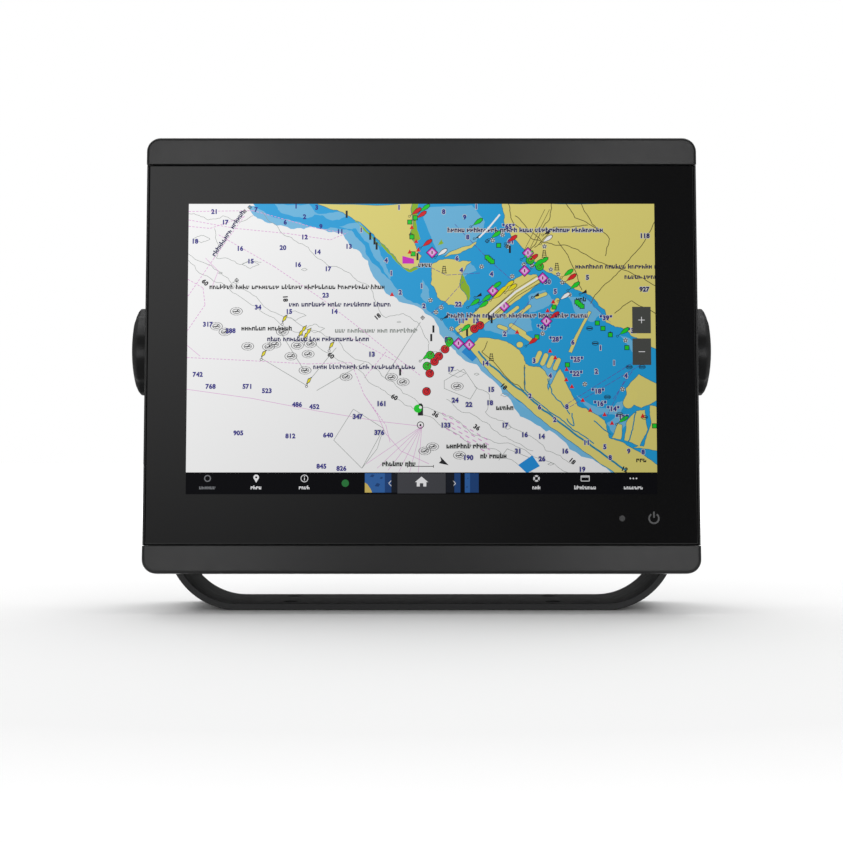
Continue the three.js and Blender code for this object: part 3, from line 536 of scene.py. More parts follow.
TRIM_DEPTH, TRIM_CORNER, TRIM_EDGE = 8.7 * MM, 6.5 * MM, 1.5 * MM
TRIM_WALL, TRIM_FRONT, TRIM_ROOM_CORNER = 2 * MM, 2.3 * MM, 4.5 * MM
CATCH_SPOTS = [x * MM for x in (-100, -40, 40, 100)]  # where the trims' catches enter the bezel


def make_trim(node, is_top):
    """A push-fit trim: a shell with rounded outer corners, cut straight at the seam, with inner catches."""
    low, high = display_box(node)
    back = low.y + TRIM_DEPTH
    spare = 4 * MM
    half_catch, catch_rise, catch_depth = 4 * MM, 0.75 * MM, 7 * MM
    middle = (low.z + high.z) / 2
    if is_top:
        z0, z1 = low.z - spare, high.z
        corners_out, corners_in = (SHARP, TRIM_CORNER), (SHARP, TRIM_ROOM_CORNER)
        seam_z, room_z = (z0 - OVERCUT, low.z), (z0 - OVERCUT, high.z - TRIM_WALL)
        catch_z = middle - 1.15 * MM
    else:
        z0, z1 = low.z, high.z + spare
        corners_out, corners_in = (TRIM_CORNER, SHARP), (TRIM_ROOM_CORNER, SHARP)
        seam_z, room_z = (high.z, z1 + OVERCUT), (low.z + TRIM_WALL, z1 + OVERCUT)
        catch_z = middle + 1.15 * MM
    shell = slab(high.x, z0, z1, *corners_out, low.y, back, edge=TRIM_EDGE, edge_steps=5, steps=12)
    seam = block((-0.2, 0.2), (-0.1, 0.0), seam_z)
    room = slab(high.x - TRIM_FRONT, *room_z, *corners_in, low.y + TRIM_FRONT, back + OVERCUT)
    catches = [block((x - half_catch, x + half_catch), (low.y + TRIM_FRONT - 0.5 * MM, low.y + catch_depth),
                     (catch_z - catch_rise, catch_z + catch_rise)) for x in CATCH_SPOTS]
    shell = add(cut(shell, [seam, room]), catches)
    place(node + "_shell", shell, node, TRIM_PLASTIC, [node], bevel=0.22 * MM)


make_trim("top_trim", True)
make_trim("bottom_trim", False)

RECESS = 0.3 * MM  # the lit layers lie in a shallow pocket, flush with the glass


def make_glass():
    """The touch glass, with the screen's shallow pocket in its front."""
    plate = slab(GLASS_HIGH.x, GLASS_LOW.z, GLASS_HIGH.z, 0.9 * MM, 0.9 * MM, GLASS_Y, GLASS_HIGH.y,
                 edge=0.5 * MM, steps=5)
    pocket = block(
        (-SCREEN_W / 2, SCREEN_W / 2), (GLASS_Y - 0.001, GLASS_Y + RECESS),
        (SCREEN_Z0, SCREEN_Z0 + SCREEN_H))
    place("touch_glass", cut(plate, [pocket]), "display", GLASS, ["cover_glass"])


make_glass()


def make_glass_marks():
    """The printed power symbol and the dark window over the light sensor, flush on the glass."""
    sensor_low, sensor_high = display_box("light_sensor")
    mid = (sensor_low + sensor_high) / 2
    power_x = display_box("key_board")[1].x - 6 * MM
    skin, deep, window_radius = GLASS_Y - 0.015 * MM, GLASS_Y + 0.1 * MM, 1.35 * MM
    profile = [(0, deep), (window_radius, deep), (window_radius, skin), (0, skin)]
    place("sensor_window", turned(profile, 32, (mid.x, 0, mid.z)), "display", SYMBOL_DARK)
    line, radius, gap = 0.75 * MM, 2.22 * MM, math.radians(34)
    rings = []
    for y in (skin, deep):
        ring = []
        for r, way in ((radius + line / 2, 1), (radius - line / 2, -1)):
            angles = [math.pi / 2 + gap + (2 * math.pi - 2 * gap) * step / 40 for step in range(41)][::way]
            ring += [(power_x + r * math.cos(a), y, mid.z + r * math.sin(a)) for a in angles]
        rings.append(ring)
    bar = block((power_x - line / 2, power_x + line / 2), (skin, deep),
                (mid.z + 0.3 * MM, mid.z + 3.1 * MM))
    place("power_symbol", joined([loft(rings), bar]), "display", SYMBOL_LIGHT)


make_glass_marks()


def make_rim():
    """The bezel: a lipped surround for the glass between the seams, with lower rails for the trims."""
    low, high = display_box("front_bezel")
    top_seam, bottom_seam = display_box("top_trim")[0].z, display_box("bottom_trim")[1].z
    gap, ledge = 0.3 * MM, 10 * MM
    lip_front, floor, rail_front = GLASS_Y + 0.6 * MM, GLASS_Y + 3.1 * MM, GLASS_Y + 2.5 * MM
    surround = slab(high.x, bottom_seam + gap, top_seam - gap, SHARP, SHARP, lip_front, high.y,
                    edge=0.8 * MM,
                    steps=1)
    rails = slab(high.x - 2.4 * MM, low.z, high.z, TRIM_ROOM_CORNER, TRIM_ROOM_CORNER, rail_front, high.y)
    pocket = block((GLASS_LOW.x - gap, GLASS_HIGH.x + gap), (lip_front - OVERCUT, floor),
                   (GLASS_LOW.z - MM, GLASS_HIGH.z + MM))
    window_half, window_low, window_high = 116.3 * MM, -77.5 * MM, 75.1 * MM
    window = block((-window_half, window_half), (floor - MM, high.y - 1.4 * MM), (window_low, window_high))
    cable_pass = block((-window_half + ledge, window_half - ledge), (floor, high.y + OVERCUT),
                       (window_low + ledge, window_high - ledge))
    rail_middles = ((low.z + bottom_seam) / 2, (high.z + top_seam) / 2)
    screw_radius, half_slot, slot_rise = 2.4 * MM, 4.3 * MM, 1.05 * MM
    holes = [rod(screw_radius, (x, lip_front, z), (x, high.y + OVERCUT, z))
             for x in (-118 * MM, 0, 118 * MM) for z in rail_middles]
    holes += [block((x - half_slot, x + half_slot), (lip_front, high.y + OVERCUT),
                    (z - slot_rise, z + slot_rise))
              for x in CATCH_SPOTS for z in rail_middles]
    rim = cut(add(surround, [rails]), [pocket, window, cable_pass, *holes])
    place("front_rim", rim, "display", CASE_PLASTIC, ["front_bezel"], bevel=0.3 * MM)


make_rim()

# ---- knobs -------------------------------------------------------------------------------------


KNOB_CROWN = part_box("knob_cap_right")[1].x
KNOB_RADIUS = 20.8 * MM
DOME_RADIUS, DOME_DROP = 17 * MM, 1.9 * MM
FLUTES, FLUTE_DEPTH = 6, 2.2 * MM


def dome(radius):
    """Distance along the tilt axis of the knob's domed face."""
    return KNOB_CROWN - DOME_DROP * (radius / DOME_RADIUS) ** 2


def flute(angle):
    """Depth of the finger scoops round a knob's rim."""
    return FLUTE_DEPTH * max(0.0, math.cos(FLUTES * angle)) ** 1.3


def knob_mesh(outward, low, high):
    """A six-fluted knob: a rounded, softly lobed rim, a recessed back and a shallow domed face."""
    inner = low if outward > 0 else -high
    radius, hub, mouth, edge = KNOB_RADIUS, 9 * MM, 12.3 * MM, 1.2 * MM
    face, web = KNOB_CROWN - DOME_DROP, inner + 1.8 * MM
    rim = face - 2.2 * MM
    profile = [(hub, inner), (hub, web), (radius - 2.4 * MM, web, 0.3)]
    for step in range(5):
        angle = math.pi / 2 * step / 4
        profile.append((radius - edge + edge * math.sin(angle), web + edge * (1 - math.cos(angle)), 1))
    for share in (0.25, 0.5, 0.75, 0.95):
        profile.append((radius, web + edge + (rim - web - edge) * share, 1))
    middle = (radius + DOME_RADIUS) / 2
    pocket, well, well_floor, bore = face - 1.6 * MM, 7 * MM, face - 6.5 * MM, 3 * MM
    profile += [
        (radius - 0.1 * MM, rim, 1), (middle + 0.5 * MM, (rim + face) / 2, 0.75),
        (17.2 * MM, face - 0.1 * MM, 0.35),
        (16 * MM, dome(16 * MM), 0.12), (14 * MM, dome(14 * MM)),
        (mouth + 0.3 * MM, dome(mouth + 0.3 * MM)),
        (mouth, dome(mouth) - 0.3 * MM), (mouth, pocket), (well, pocket), (well, well_floor),
        (bore, well_floor), (bore, inner)]
    return turned(profile, 180, axis="X", outward=outward, wave=flute)


def make_clamp(side, outward):
    """One side's knob, its face cap and the pressure washer, all about the tilt axis."""
    low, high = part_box("knob_" + side)
    body = side + "_knob"
    mesh = knob_mesh(outward, low.x, high.x)
    mesh.transform(Matrix.Rotation(-TILT, 4, "X"))
    at_pivot = Matrix.Translation(PIVOT)
    place(f"{side}_knob_grip", mesh, body, KNOB_PLASTIC, ["knob_" + side], matrix=at_pivot,
          smooth_angle=50)
    cap_radius, floor = 12 * MM, KNOB_CROWN - 3.2 * MM
    edge = cap_radius - 0.3 * MM
    profile = [(0, floor), (cap_radius, floor), (cap_radius, dome(cap_radius) - 0.3 * MM),
               (edge, dome(edge))]
    profile += [(cap_radius * share, dome(cap_radius * share)) for share in (0.8, 0.6, 0.4, 0.2)]
    profile.append((0, KNOB_CROWN))
    cap = turned(profile, 72, axis="X", outward=outward)
    place(f"{side}_knob_face", cap, body, KNOB_PLASTIC, ["knob_cap_" + side],
          matrix=at_pivot)
    for node, slot, paint, owner in (
        ("clamp_washer_", "steel", STEEL, side + "_washer"),
        ("friction_disc_", "black_rubber", RUBBER, "display"),
    ):
        low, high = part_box(node + side)
        ring_low, ring_high = sorted((abs(low.x), abs(high.x)))
        hole, outer, edge = 3.2 * MM, high.y, 0.25 * MM
        ring = [(hole, ring_low), (outer - edge, ring_low), (outer, ring_low + edge),
                (outer, ring_high - edge), (outer - edge, ring_high), (hole, ring_high)]
        mesh = turned(ring, 72, axis="X", outward=outward)
        place(f"{side}_{node}ring", mesh, owner, paint, [node + side], matrix=at_pivot)


make_clamp("left", -1)
make_clamp("right", 1)

# ---- rear housing ------------------------------------------------------------------------------

HOUSING_FRONT, HOUSING_BACK, FIN_TIP = -26.2 * MM, 24 * MM, 30.5 * MM
WALL_INNER = HOUSING_BACK - 3 * MM
CASE_HALF, CASE_CORNER, CASE_WALL = 111.5 * MM, 12 * MM, 5 * MM
FIN_COUNT, FIN_PITCH, FIN_ROOT_HALF, FIN_TIP_HALF = 15, 9 * MM, 1.1 * MM, 0.8 * MM
HINGE_Y, HINGE_Z, HINGE_RADIUS = 27.6 * MM, -33.2 * MM, 2.2 * MM
HINGE_PIN = 1.2 * MM, 67 * MM, 101 * MM  # radius and the two ends
PORT_NAMES = [node for node in NODES if node.endswith("_port") or node.startswith("network_port_")]
SCREW_NAMES = [node for node in NODES if node.startswith("case_screw_")]


def spot(node):
    """Middle of a node in the display's own axes, and half its width."""
    low, high = display_box(node)
    return (low + high) / 2, (high.x - low.x) / 2


def rod_y(radius, y0, y1, x, z, sides=40):
    return turned([(0, y0), (radius, y0), (radius, y1), (0, y1)], sides, (x, 0, z))


def rod_x(radius, x0, x1, y, z, sides=32):
    return turned([(0, x0), (radius, x0), (radius, x1), (0, x1)], sides, (0, y, z), axis="X")


def cooling_fin(x):
    """One fin, thinner at its tip and sloped in at its top and bottom."""
    root = HOUSING_BACK - MM
    outline = [(-34, root), (-28, FIN_TIP), (66, FIN_TIP), (72, root)]
    left, right = [
        [(x + way * (FIN_ROOT_HALF if y < FIN_TIP else FIN_TIP_HALF), y, z * MM) for z, y in outline]
        for way in (-1, 1)]
    return loft([left, right])


def make_housing():
    """The cast case: finned box and flange, hollowed, with bores for sockets, vent, screws and pivots."""
    bottom, top = -90 * MM, 80 * MM
    body = slab(CASE_HALF, bottom, top, CASE_CORNER, CASE_CORNER, HOUSING_BACK, HOUSING_FRONT,
                edge=5 * MM, edge_steps=1, steps=12)
    flange = slab(CASE_HALF, bottom - 10 * MM, top + 10 * MM, CASE_CORNER, CASE_CORNER, -22.2 * MM,
                  HOUSING_FRONT, edge=0.5 * MM, edge_steps=1, steps=12)
    fins = [cooling_fin((index - FIN_COUNT // 2) * FIN_PITCH) for index in range(FIN_COUNT)]
    door_low, door_high = display_box("card_door")
    gap = 0.5 * MM
    pad = block((door_low.x - gap, door_high.x + gap), (WALL_INNER, HOUSING_BACK + MM),
                (-35.8 * MM, -11.5 * MM))
    lugs = []
    for left in (69 * MM, 94.4 * MM):
        right = left + 4.6 * MM
        lugs.append(rod_x(HINGE_RADIUS, left, right, HINGE_Y, HINGE_Z))
        lugs.append(block((left, right), (HOUSING_BACK, HINGE_Y), (-35.4 * MM, -31.9 * MM)))
    shell = add(body, [flange, *fins, pad, *lugs])
    inner_corner = CASE_CORNER - CASE_WALL
    cavity = slab(CASE_HALF - CASE_WALL, bottom + CASE_WALL, top - CASE_WALL, inner_corner, inner_corner,
                  HOUSING_FRONT - MM, WALL_INNER, steps=6)
    card_window = block((71 * MM, 97 * MM), (WALL_INNER - MM, 26 * MM), (-29 * MM, -15 * MM))
    tools = [cavity, card_window, rod_x(*HINGE_PIN, HINGE_Y, HINGE_Z)]
    for node in PORT_NAMES:
        middle, half = spot(node)
        tools.append(rod_y(half - 3.5 * MM, WALL_INNER - MM, HOUSING_BACK + MM, middle.x, middle.z))
    vent, _ = spot("pressure_vent")
    tools.append(rod_y(3.5 * MM, WALL_INNER - MM, HOUSING_BACK + MM, vent.x, vent.z))
    for node in SCREW_NAMES:
        middle, _ = spot(node)
        tools.append(rod_y(1.8 * MM, HOUSING_FRONT - MM, -21 * MM, middle.x, middle.z))
    for outward in (-1, 1):
        ends = sorted((outward * 98.1 * MM, outward * 113 * MM))
        tools.append(rod_x(5.3 * MM, *ends, 0, 0))
    bosses = [rod_x(8 * MM, *sorted((outward * 97 * MM, outward * 107 * MM)), 0, 0) for outward in (-1, 1)]
    shell = cut(add(cut(shell, tools[:1]), bosses), tools[1:])
    place("rear_case", shell, "display", HOUSING_PAINT, ["rear_housing"], bevel=0.45 * MM)


make_housing()


def make_port(node):
    """A round marine socket: flanged barrel with a coarse thread, keyed hollow and brass pins."""
    middle, half = spot(node)
    radius, seat, mouth, floor = half - 3 * MM, 24.3 * MM, 32 * MM, 20 * MM
    neck, hollow, thread_root, inner_end = radius - 0.8 * MM, radius - 2 * MM, radius - 0.55 * MM, 9.7 * MM
    profile = [(0, inner_end), (neck, inner_end), (neck, seat), (half - 0.3 * MM, seat),
               (half, seat + 0.3 * MM), (half, seat + 1.5 * MM),
               (half - 0.5 * MM, seat + 2 * MM), (radius - 0.5 * MM, seat + 2 * MM)]
    for turn in range(4):
        y = seat + (2.5 + 1.15 * turn) * MM
        profile += [(thread_root, y), (radius, y + 0.35 * MM), (radius, y + 0.6 * MM),
                    (thread_root, y + 0.95 * MM)]
    profile += [(thread_root, mouth - 0.2 * MM), (radius - 0.75 * MM, mouth),
                (hollow + 0.3 * MM, mouth), (hollow, mouth - 0.3 * MM), (hollow, floor), (0, floor)]
    barrel = turned(profile, 64, (middle.x, 0, middle.z))
    key = block((middle.x - 0.8 * MM, middle.x + 0.8 * MM), (floor - MM, mouth - 2 * MM),
                (middle.z + hollow - 0.9 * MM, middle.z + hollow + 0.5 * MM))
    place(node + "_socket", add(barrel, [key]), "display", PORT_PLASTIC, [node])
    pins = {"power_port": 4, "data_bus_port": 5, "network_port_1": 6, "network_port_2": 6,
            "transducer_port": 6}
    contacts = []
    for index in range(pins.get(node, 0)):
        angle = 2 * math.pi * index / pins[node]
        x, z = middle.x + hollow / 2 * math.cos(angle), middle.z + hollow / 2 * math.sin(angle)
        tip = 25 * MM
        contacts.append(turned([(0, floor - MM), (0.7 * MM, floor - MM), (0.7 * MM, tip - 0.4 * MM),
                                (0.35 * MM, tip), (0, tip)], 16, (x, 0, z)))
    if contacts:
        place(node + "_pins", joined(contacts), "display", BRASS)


for port_name in PORT_NAMES:
    make_port(port_name)


def make_port_cap():
    """Soft plug with a ribbed rim and a shallow dished face."""
    middle, half = spot("video_port_cap")
    plug, seat = half - 4.3 * MM, 32.3 * MM
    profile = [(0, 21 * MM), (plug - 0.5 * MM, 21 * MM), (plug, 21.5 * MM), (plug, seat),
               (half - 0.3 * MM, seat, 1),
               (half, seat + 0.3 * MM, 1), (half, seat + 1.7 * MM, 1),
               (half - 0.6 * MM, seat + 2.5 * MM, 0.4),
               (half - 2.4 * MM, seat + 2.5 * MM), (half - 3 * MM, seat + 1.9 * MM), (0, seat + 1.7 * MM)]
    cap = turned(profile, 144, (middle.x, 0, middle.z),
                 wave=lambda angle: 0.35 * MM * (0.5 - 0.5 * math.cos(24 * angle)))
    place("port_cap_plug", cap, "port_cap", RUBBER, ["video_port_cap"])


make_port_cap()


def make_vent():
    """Flanged breather disc with eight slots round its middle."""
    middle, half = spot("pressure_vent")
    seat = 24.3 * MM
    neck, inner_end = 3.2 * MM, 20 * MM
    disc = turned([(0, inner_end), (neck, inner_end), (neck, seat), (half, seat), (half, seat + 1.9 * MM),
                   (half - 0.8 * MM, seat + 2.7 * MM), (2.6 * MM, seat + 2.7 * MM),
                   (2.4 * MM, seat + 2.4 * MM), (0, seat + 2.4 * MM)], 64, (middle.x, 0, middle.z))
    slots = []
    for turn in range(8):
        slot = block((3.4 * MM, 5.6 * MM), (seat + 1.2 * MM, seat + 4 * MM), (-0.5 * MM, 0.5 * MM))
        centred = Matrix.Translation((middle.x, 0, middle.z))
        slot.transform(centred @ Matrix.Rotation(turn * math.pi / 4, 4, "Y"))
        slots.append(slot)
    place("vent_disc", cut(disc, slots), "display", PORT_PLASTIC, ["pressure_vent"],
          bevel=0.12 * MM)


make_vent()


def make_case_screw(node):
    """Pan-head screw with a hexagon socket."""
    middle, half = spot(node)
    seat, tip = -21.9 * MM, -30.6 * MM
    profile = [(0, tip), (1.1 * MM, tip), (1.5 * MM, tip + 0.6 * MM), (1.5 * MM, seat), (half, seat),
               (half, seat + MM), (half - 0.35 * MM, seat + 1.6 * MM), (half - MM, seat + 1.95 * MM),
               (0, seat + 2 * MM)]
    socket = rod_y(1.45 * MM, seat + 0.7 * MM, seat + 3 * MM, middle.x, middle.z, 6)
    screw = cut(turned(profile, 40, (middle.x, 0, middle.z)), [socket])
    place(node + "_head", screw, "display", STEEL, [node], bevel=0.08 * MM)


for screw_name in SCREW_NAMES:
    make_case_screw(screw_name)


def make_card_door():
    """Hinged leaf with rounded corners, a thumb lip, two grip ribs and a hinge knuckle."""
    low, high = display_box("card_door")
    middle, half = (low.x + high.x) / 2, (high.x - low.x) / 2
    front, back = 25.3 * MM, 27.8 * MM
    leaf = slab(half, -30.6 * MM, -12.5 * MM, 1.5 * MM, 2.5 * MM, back, front, edge=0.7 * MM, steps=6,
                x_mid=middle)
    lip = block((middle - 5 * MM, middle + 5 * MM), (26.3 * MM, back + 1.2 * MM), (-13.7 * MM, -11.5 * MM))
    knuckle_ends = 74 * MM, 94 * MM
    knuckle = rod_x(HINGE_RADIUS, *knuckle_ends, HINGE_Y, HINGE_Z)
    web = block(knuckle_ends, (25.6 * MM, back), (-32.3 * MM, -29.6 * MM))
    ribs = [block((middle - 9 * MM, middle + 9 * MM), (back - MM, back + 0.35 * MM),
                  (z * MM, (z + 0.8) * MM))
            for z in (-18.4, -20.4, -22.4)]
    door = cut(add(leaf, [lip, knuckle, web, *ribs]), [rod_x(*HINGE_PIN, HINGE_Y, HINGE_Z)])
    place("card_door_leaf", door, "card_door", CASE_PLASTIC, ["card_door"], bevel=0.2 * MM)


make_card_door()

# ---- remaining CAD nodes keep their shapes and take better skins -------------------------------

SKINS = {
    "steel": STEEL, "brass": BRASS, "circuit_board": CIRCUIT, "black_rubber": RUBBER,
    "port_plastic": PORT_PLASTIC,
    "case_plastic": CASE_PLASTIC, "housing_paint": HOUSING_PAINT, "knob_plastic": KNOB_PLASTIC,
    "trim_plastic": TRIM_PLASTIC, "bail_paint": BAIL_PAINT, "front_glass": GLASS, "screen": PANEL,
    "light_guide": DIFFUSER, "polyimide": RIBBON, "antenna_ceramic": CERAMIC,
}
for subpart in frame["record"]["subparts"]:
    if subpart["material_slot"] in SKINS:
        plain_mesh = NODES[subpart["node"]].data
        plain_mesh.materials.clear()
        plain_mesh.materials.append(SKINS[subpart["material_slot"]])

# ---- chart on the screen -----------------------------------------------------------------------

LAYER_STEP = 0.022 * MM


def clip(points):
    """The part of a polygon of (x, z) millimetres that lies on the screen."""
    limits = ((0, 0.0, 1), (0, W, -1), (1, 0.0, 1), (1, H, -1))
    for axis, limit, sense in limits:
        kept = []
        for i, point in enumerate(points):
            before = points[i - 1]
            inside = (point[axis] - limit) * sense >= 0
            was_inside = (before[axis] - limit) * sense >= 0
            if inside != was_inside:
                share = (limit - before[axis]) / (point[axis] - before[axis])
                kept.append(tuple(before[k] + share * (point[k] - before[k]) for k in (0, 1)))
            if inside:
                kept.append(point)
        points = kept
        if len(points) < 3:
            return []
    return points


class Ink:
    """Collects flat shapes of one colour on one layer, then makes them one piece."""

    def __init__(self, name, layer, colour, gloss=0.5):
        self.name, self.layer, self.colour, self.gloss = name, layer, colour, gloss
        self.vertices, self.faces = [], []

    def poly(self, points):
        points = clip([tuple(p) for p in points])
        if len(points) < 3:
            return
        front = GLASS_Y + RECESS - (self.layer + 1) * LAYER_STEP
        start, count = len(self.vertices), len(points)
        for y in (front, front + LAYER_STEP * 0.8):
            for x, z in points:
                self.vertices.append((x * MM - SCREEN_W / 2, y, SCREEN_Z0 + z * MM))
        self.faces.append(tuple(range(start, start + count)))
        self.faces.append(tuple(reversed(range(start + count, start + 2 * count))))
        for i in range(count):
            j = (i + 1) % count
            self.faces.append((start + i, start + count + i, start + count + j, start + j))

    def line(self, points, width, dash=None):
        """A ribbon along points; dash is (drawn, skipped) lengths."""
        for (ax, az), (bx, bz) in zip(points, points[1:]):
            length = math.hypot(bx - ax, bz - az)
            if length < 1e-6:
                continue
            ux, uz = (bx - ax) / length, (bz - az) / length
            nx, nz = -uz * width / 2, ux * width / 2
            drawn, skipped = dash or (length, 1)
            at = 0.0
            while at < length - 1e-6:
                end = min(at + drawn, length)
                p, q = (ax + ux * at, az + uz * at), (ax + ux * end, az + uz * end)
                self.poly([(p[0] - nx, p[1] - nz), (q[0] - nx, q[1] - nz), (q[0] + nx, q[1] + nz),
                           (p[0] + nx, p[1] + nz)])
                at = end + skipped

    def disc(self, x, z, radius, sides=14, squash=1.0, start=0.0):
        self.poly([(x + radius * math.cos(start + 2 * math.pi * i / sides),
                    z + squash * radius * math.sin(start + 2 * math.pi * i / sides)) for i in range(sides)])

    def ring(self, x, z, radius, width, sides=20, squash=1.0, dash=None):
        points = [(x + radius * math.cos(2 * math.pi * i / sides),
                   z + squash * radius * math.sin(2 * math.pi * i / sides)) for i in range(sides + 1)]
        self.line(points, width, dash)

    def text(self, word, x, z, height, angle=0.0, bold=0.05):
        """Digits centred on a point."""
        advance = height * 0.72
        width = advance * len(word)
        c, s = math.cos(angle), math.sin(angle)
        front = GLASS_Y + RECESS - (self.layer + 1) * LAYER_STEP
        for index, char in enumerate(word):
            vertices, faces = glyph(char, bold)
            offset = (index + 0.5) * advance - width / 2
            start = len(self.vertices)
            for gx, gz, side in vertices:
                px, pz = offset + gx * height, gz * height
                wx, wz = x + px * c - pz * s, z + px * s + pz * c
                self.vertices.append(
                    (wx * MM - SCREEN_W / 2, front + (1 - side) * LAYER_STEP * 0.8, SCREEN_Z0 + wz * MM))
            self.faces += [tuple(start + k for k in face) for face in faces]

    def finish(self):
        if not self.vertices:
            return
        mesh = bpy.data.meshes.new(self.name)
        mesh.from_pydata(self.vertices, [], self.faces)
        place(self.name, mesh, "display", lit(self.name + "_ink", self.colour, self.gloss))


GLYPHS = {}


def glyph(char, bold):
    """A digit's closed solid, one unit high: ([(x, z, side)], faces); side is 0 behind, 1 in front."""
    if (char, bold) not in GLYPHS:
        curve = bpy.data.curves.new("glyph", "FONT")
        curve.body = char
        curve.resolution_u = 3
        curve.extrude = 0.05
        curve.offset = bold
        holder = bpy.data.objects.new("glyph", curve)
        bpy.context.scene.collection.objects.link(holder)
        graph = bpy.context.evaluated_depsgraph_get()
        mesh = bpy.data.meshes.new_from_object(holder.evaluated_get(graph))
        bpy.data.objects.remove(holder)
        tidy = bmesh.new()
        tidy.from_mesh(mesh)
        bmesh.ops.remove_doubles(tidy, verts=tidy.verts, dist=1e-4)
        tidy.to_mesh(mesh)
        tidy.free()
        xs = [v.co.x for v in mesh.vertices]
        mid = (min(xs) + max(xs)) / 2
        cap_height = 0.73
        vertices = [((v.co.x - mid) / cap_height, v.co.y / cap_height - 0.5, 1 if v.co.z > 0 else 0)
                    for v in mesh.vertices]
        GLYPHS[char, bold] = (vertices, [tuple(p.vertices) for p in mesh.polygons])
    return GLYPHS[char, bold]


RANDOM = random.Random(7)


def coast(points, roughness=1.1, rounds=3):
    """A hand-drawn outline with natural wobble: each round adds a displaced midpoint to every edge."""
    for _ in range(rounds):
        wavy = []
        for i, (ax, az) in enumerate(points):
            bx, bz = points[(i + 1) % len(points)]
            length = math.hypot(bx - ax, bz - az)
            reach = min(length * 0.12, roughness) * RANDOM.uniform(-1, 1)
            nx, nz = (-(bz - az) / length, (bx - ax) / length) if length else (0, 0)
            wavy += [(ax, az), ((ax + bx) / 2 + nx * reach, (az + bz) / 2 + nz * reach)]
        points = wavy
        roughness *= 0.55
    return points


def wander(points, roughness=1.0, rounds=3):
    """The same wobble on an open line."""
    last = points[-1]
    wavy = coast(points, roughness, rounds)
    return wavy[: wavy.index(last) + 1] if last in wavy else wavy


def srgb(r, g, b):
    """Screen colours as a display's own 0-255 levels."""
    return tuple(((v / 255 + 0.055) / 1.055) ** 2.4 if v > 10 else v / 255 / 12.92 for v in (r, g, b))


SEA = Ink("chart_sea", 0, srgb(252, 252, 252))
FRINGE = Ink("chart_fringe", 1, srgb(122, 192, 232))
SHOAL = Ink("chart_shallows", 2, srgb(28, 166, 228))
PALE = Ink("chart_pale_water", 3, srgb(112, 190, 232))
GREEN = Ink("chart_tidal", 4, srgb(146, 190, 34))
SHORE = Ink("chart_shore", 5, srgb(34, 124, 150))
LAND = Ink("chart_land", 6, srgb(232, 220, 124))
DETAIL = Ink("chart_canals", 7, srgb(40, 140, 172))
ROAD = Ink("chart_roads", 7, srgb(108, 100, 56))
CONTOUR = Ink("chart_contours", 3, srgb(150, 156, 152))
ROUTE = Ink("chart_routes", 4, srgb(228, 166, 220))
LINE = Ink("chart_lines", 7, srgb(92, 70, 170))
BLACK = Ink("chart_black", 8, srgb(26, 26, 30))
NAVY = Ink("chart_soundings", 9, srgb(38, 30, 138))
PLACE = Ink("chart_place_names", 9, srgb(30, 24, 88))
MARK_GREEN = Ink("chart_green_marks", 9, srgb(20, 214, 40))
MARK_RED = Ink("chart_red_marks", 9, srgb(226, 26, 34))
MARK_YELLOW = Ink("chart_yellow_marks", 9, srgb(240, 226, 20))
MARK_MAGENTA = Ink("chart_magenta_marks", 9, srgb(214, 40, 200))
HALO = Ink("chart_halos", 7.5, srgb(214, 216, 214))
MARK_WHITE = Ink("chart_white_marks", 10, srgb(250, 250, 250))
MARK_PINK = Ink("chart_pink_marks", 10, srgb(238, 184, 234))
MARK_RIM = Ink("chart_mark_rings", 10.5, srgb(96, 16, 36))
MARK_BLUE = Ink("chart_blue_patch", 4, srgb(24, 146, 224))

BAR_H = 10.1  # toolbar height

COAST_LINE = [(30, H), (36, 131), (46, 128.5), (56, 125), (66, 124.5), (76, 123), (82, 116), (88, 106),
              (97, 95.5), (108, 88), (118, 81), (126, 73), (132, 66), (141, 57), (150, 47), (158, 40),
              (167, 35), (176, 29), (187, 19), (197, 11), (206, 4)]


def water():
    SEA.poly([(0, 0), (W, 0), (W, H), (0, H)])
    edge = wander(COAST_LINE, 1.6)
    SHOAL.poly(edge + [(W, 0), (W + 1, H + 1)])
    shifted = [(x - 2.2 - 3 * math.sin(x / 9) ** 2, z - 3.2 * math.cos(x / 14) ** 2)
               for x, z in COAST_LINE]
    FRINGE.poly(wander(shifted, 2) + [(W, 0), (W + 1, H + 1)])
    for patch in (
        [(40, H), (44, 131), (54, 129), (60, 131), (56, H)],
        [(58, 131), (66, 128), (74, 129.5), (80, 133), (70, 132)],
        [(70, 125), (78, 124), (84, 117), (89, 108), (94, 100), (91, 109), (86, 119), (80, 127)],
        [(108, 134), (116, 112), (124, 112), (134, 118), (138, 127), (132, 135)],
        [(112, 95), (109, 100), (108, 92), (111, 89)],
        [(147, 74), (138, 76), (134, 80), (146, 84), (158, 84), (160, 76)],
        [(158, 92), (166, 95), (170, 90), (164, 86), (158, 84)],
        [(176, 92), (186, 90), (192, 84), (188, 80), (180, 84)],
        [(150, 44), (160, 38), (172, 31), (166, 29), (154, 36)],
        [(172, 31), (182, 22), (190, 16), (180, 21), (173, 27)],
        [(164, 60), (170, 62), (172, 54), (168, 48), (165, 54)],
        [(194, 33), (200, 38), (204, 34), (199, 26)],
        [(180, 46), (188, 41), (196, 40), (203, 44), (199, 36), (188, 37)],
        [(200, 74), (208, 71), (212, 66), (206, 66)],
        [(118, 106), (126, 100), (134, 104), (131, 108), (124, 109)],
    ):
        PALE.poly(coast(patch, 0.9))
    MARK_BLUE.poly([(153, 13.5), (157, 9.7), (163, 13), (159.5, 18)])
    MARK_BLUE.poly([(127, 66), (132, 61.5), (135, 64.5), (130, 69)])


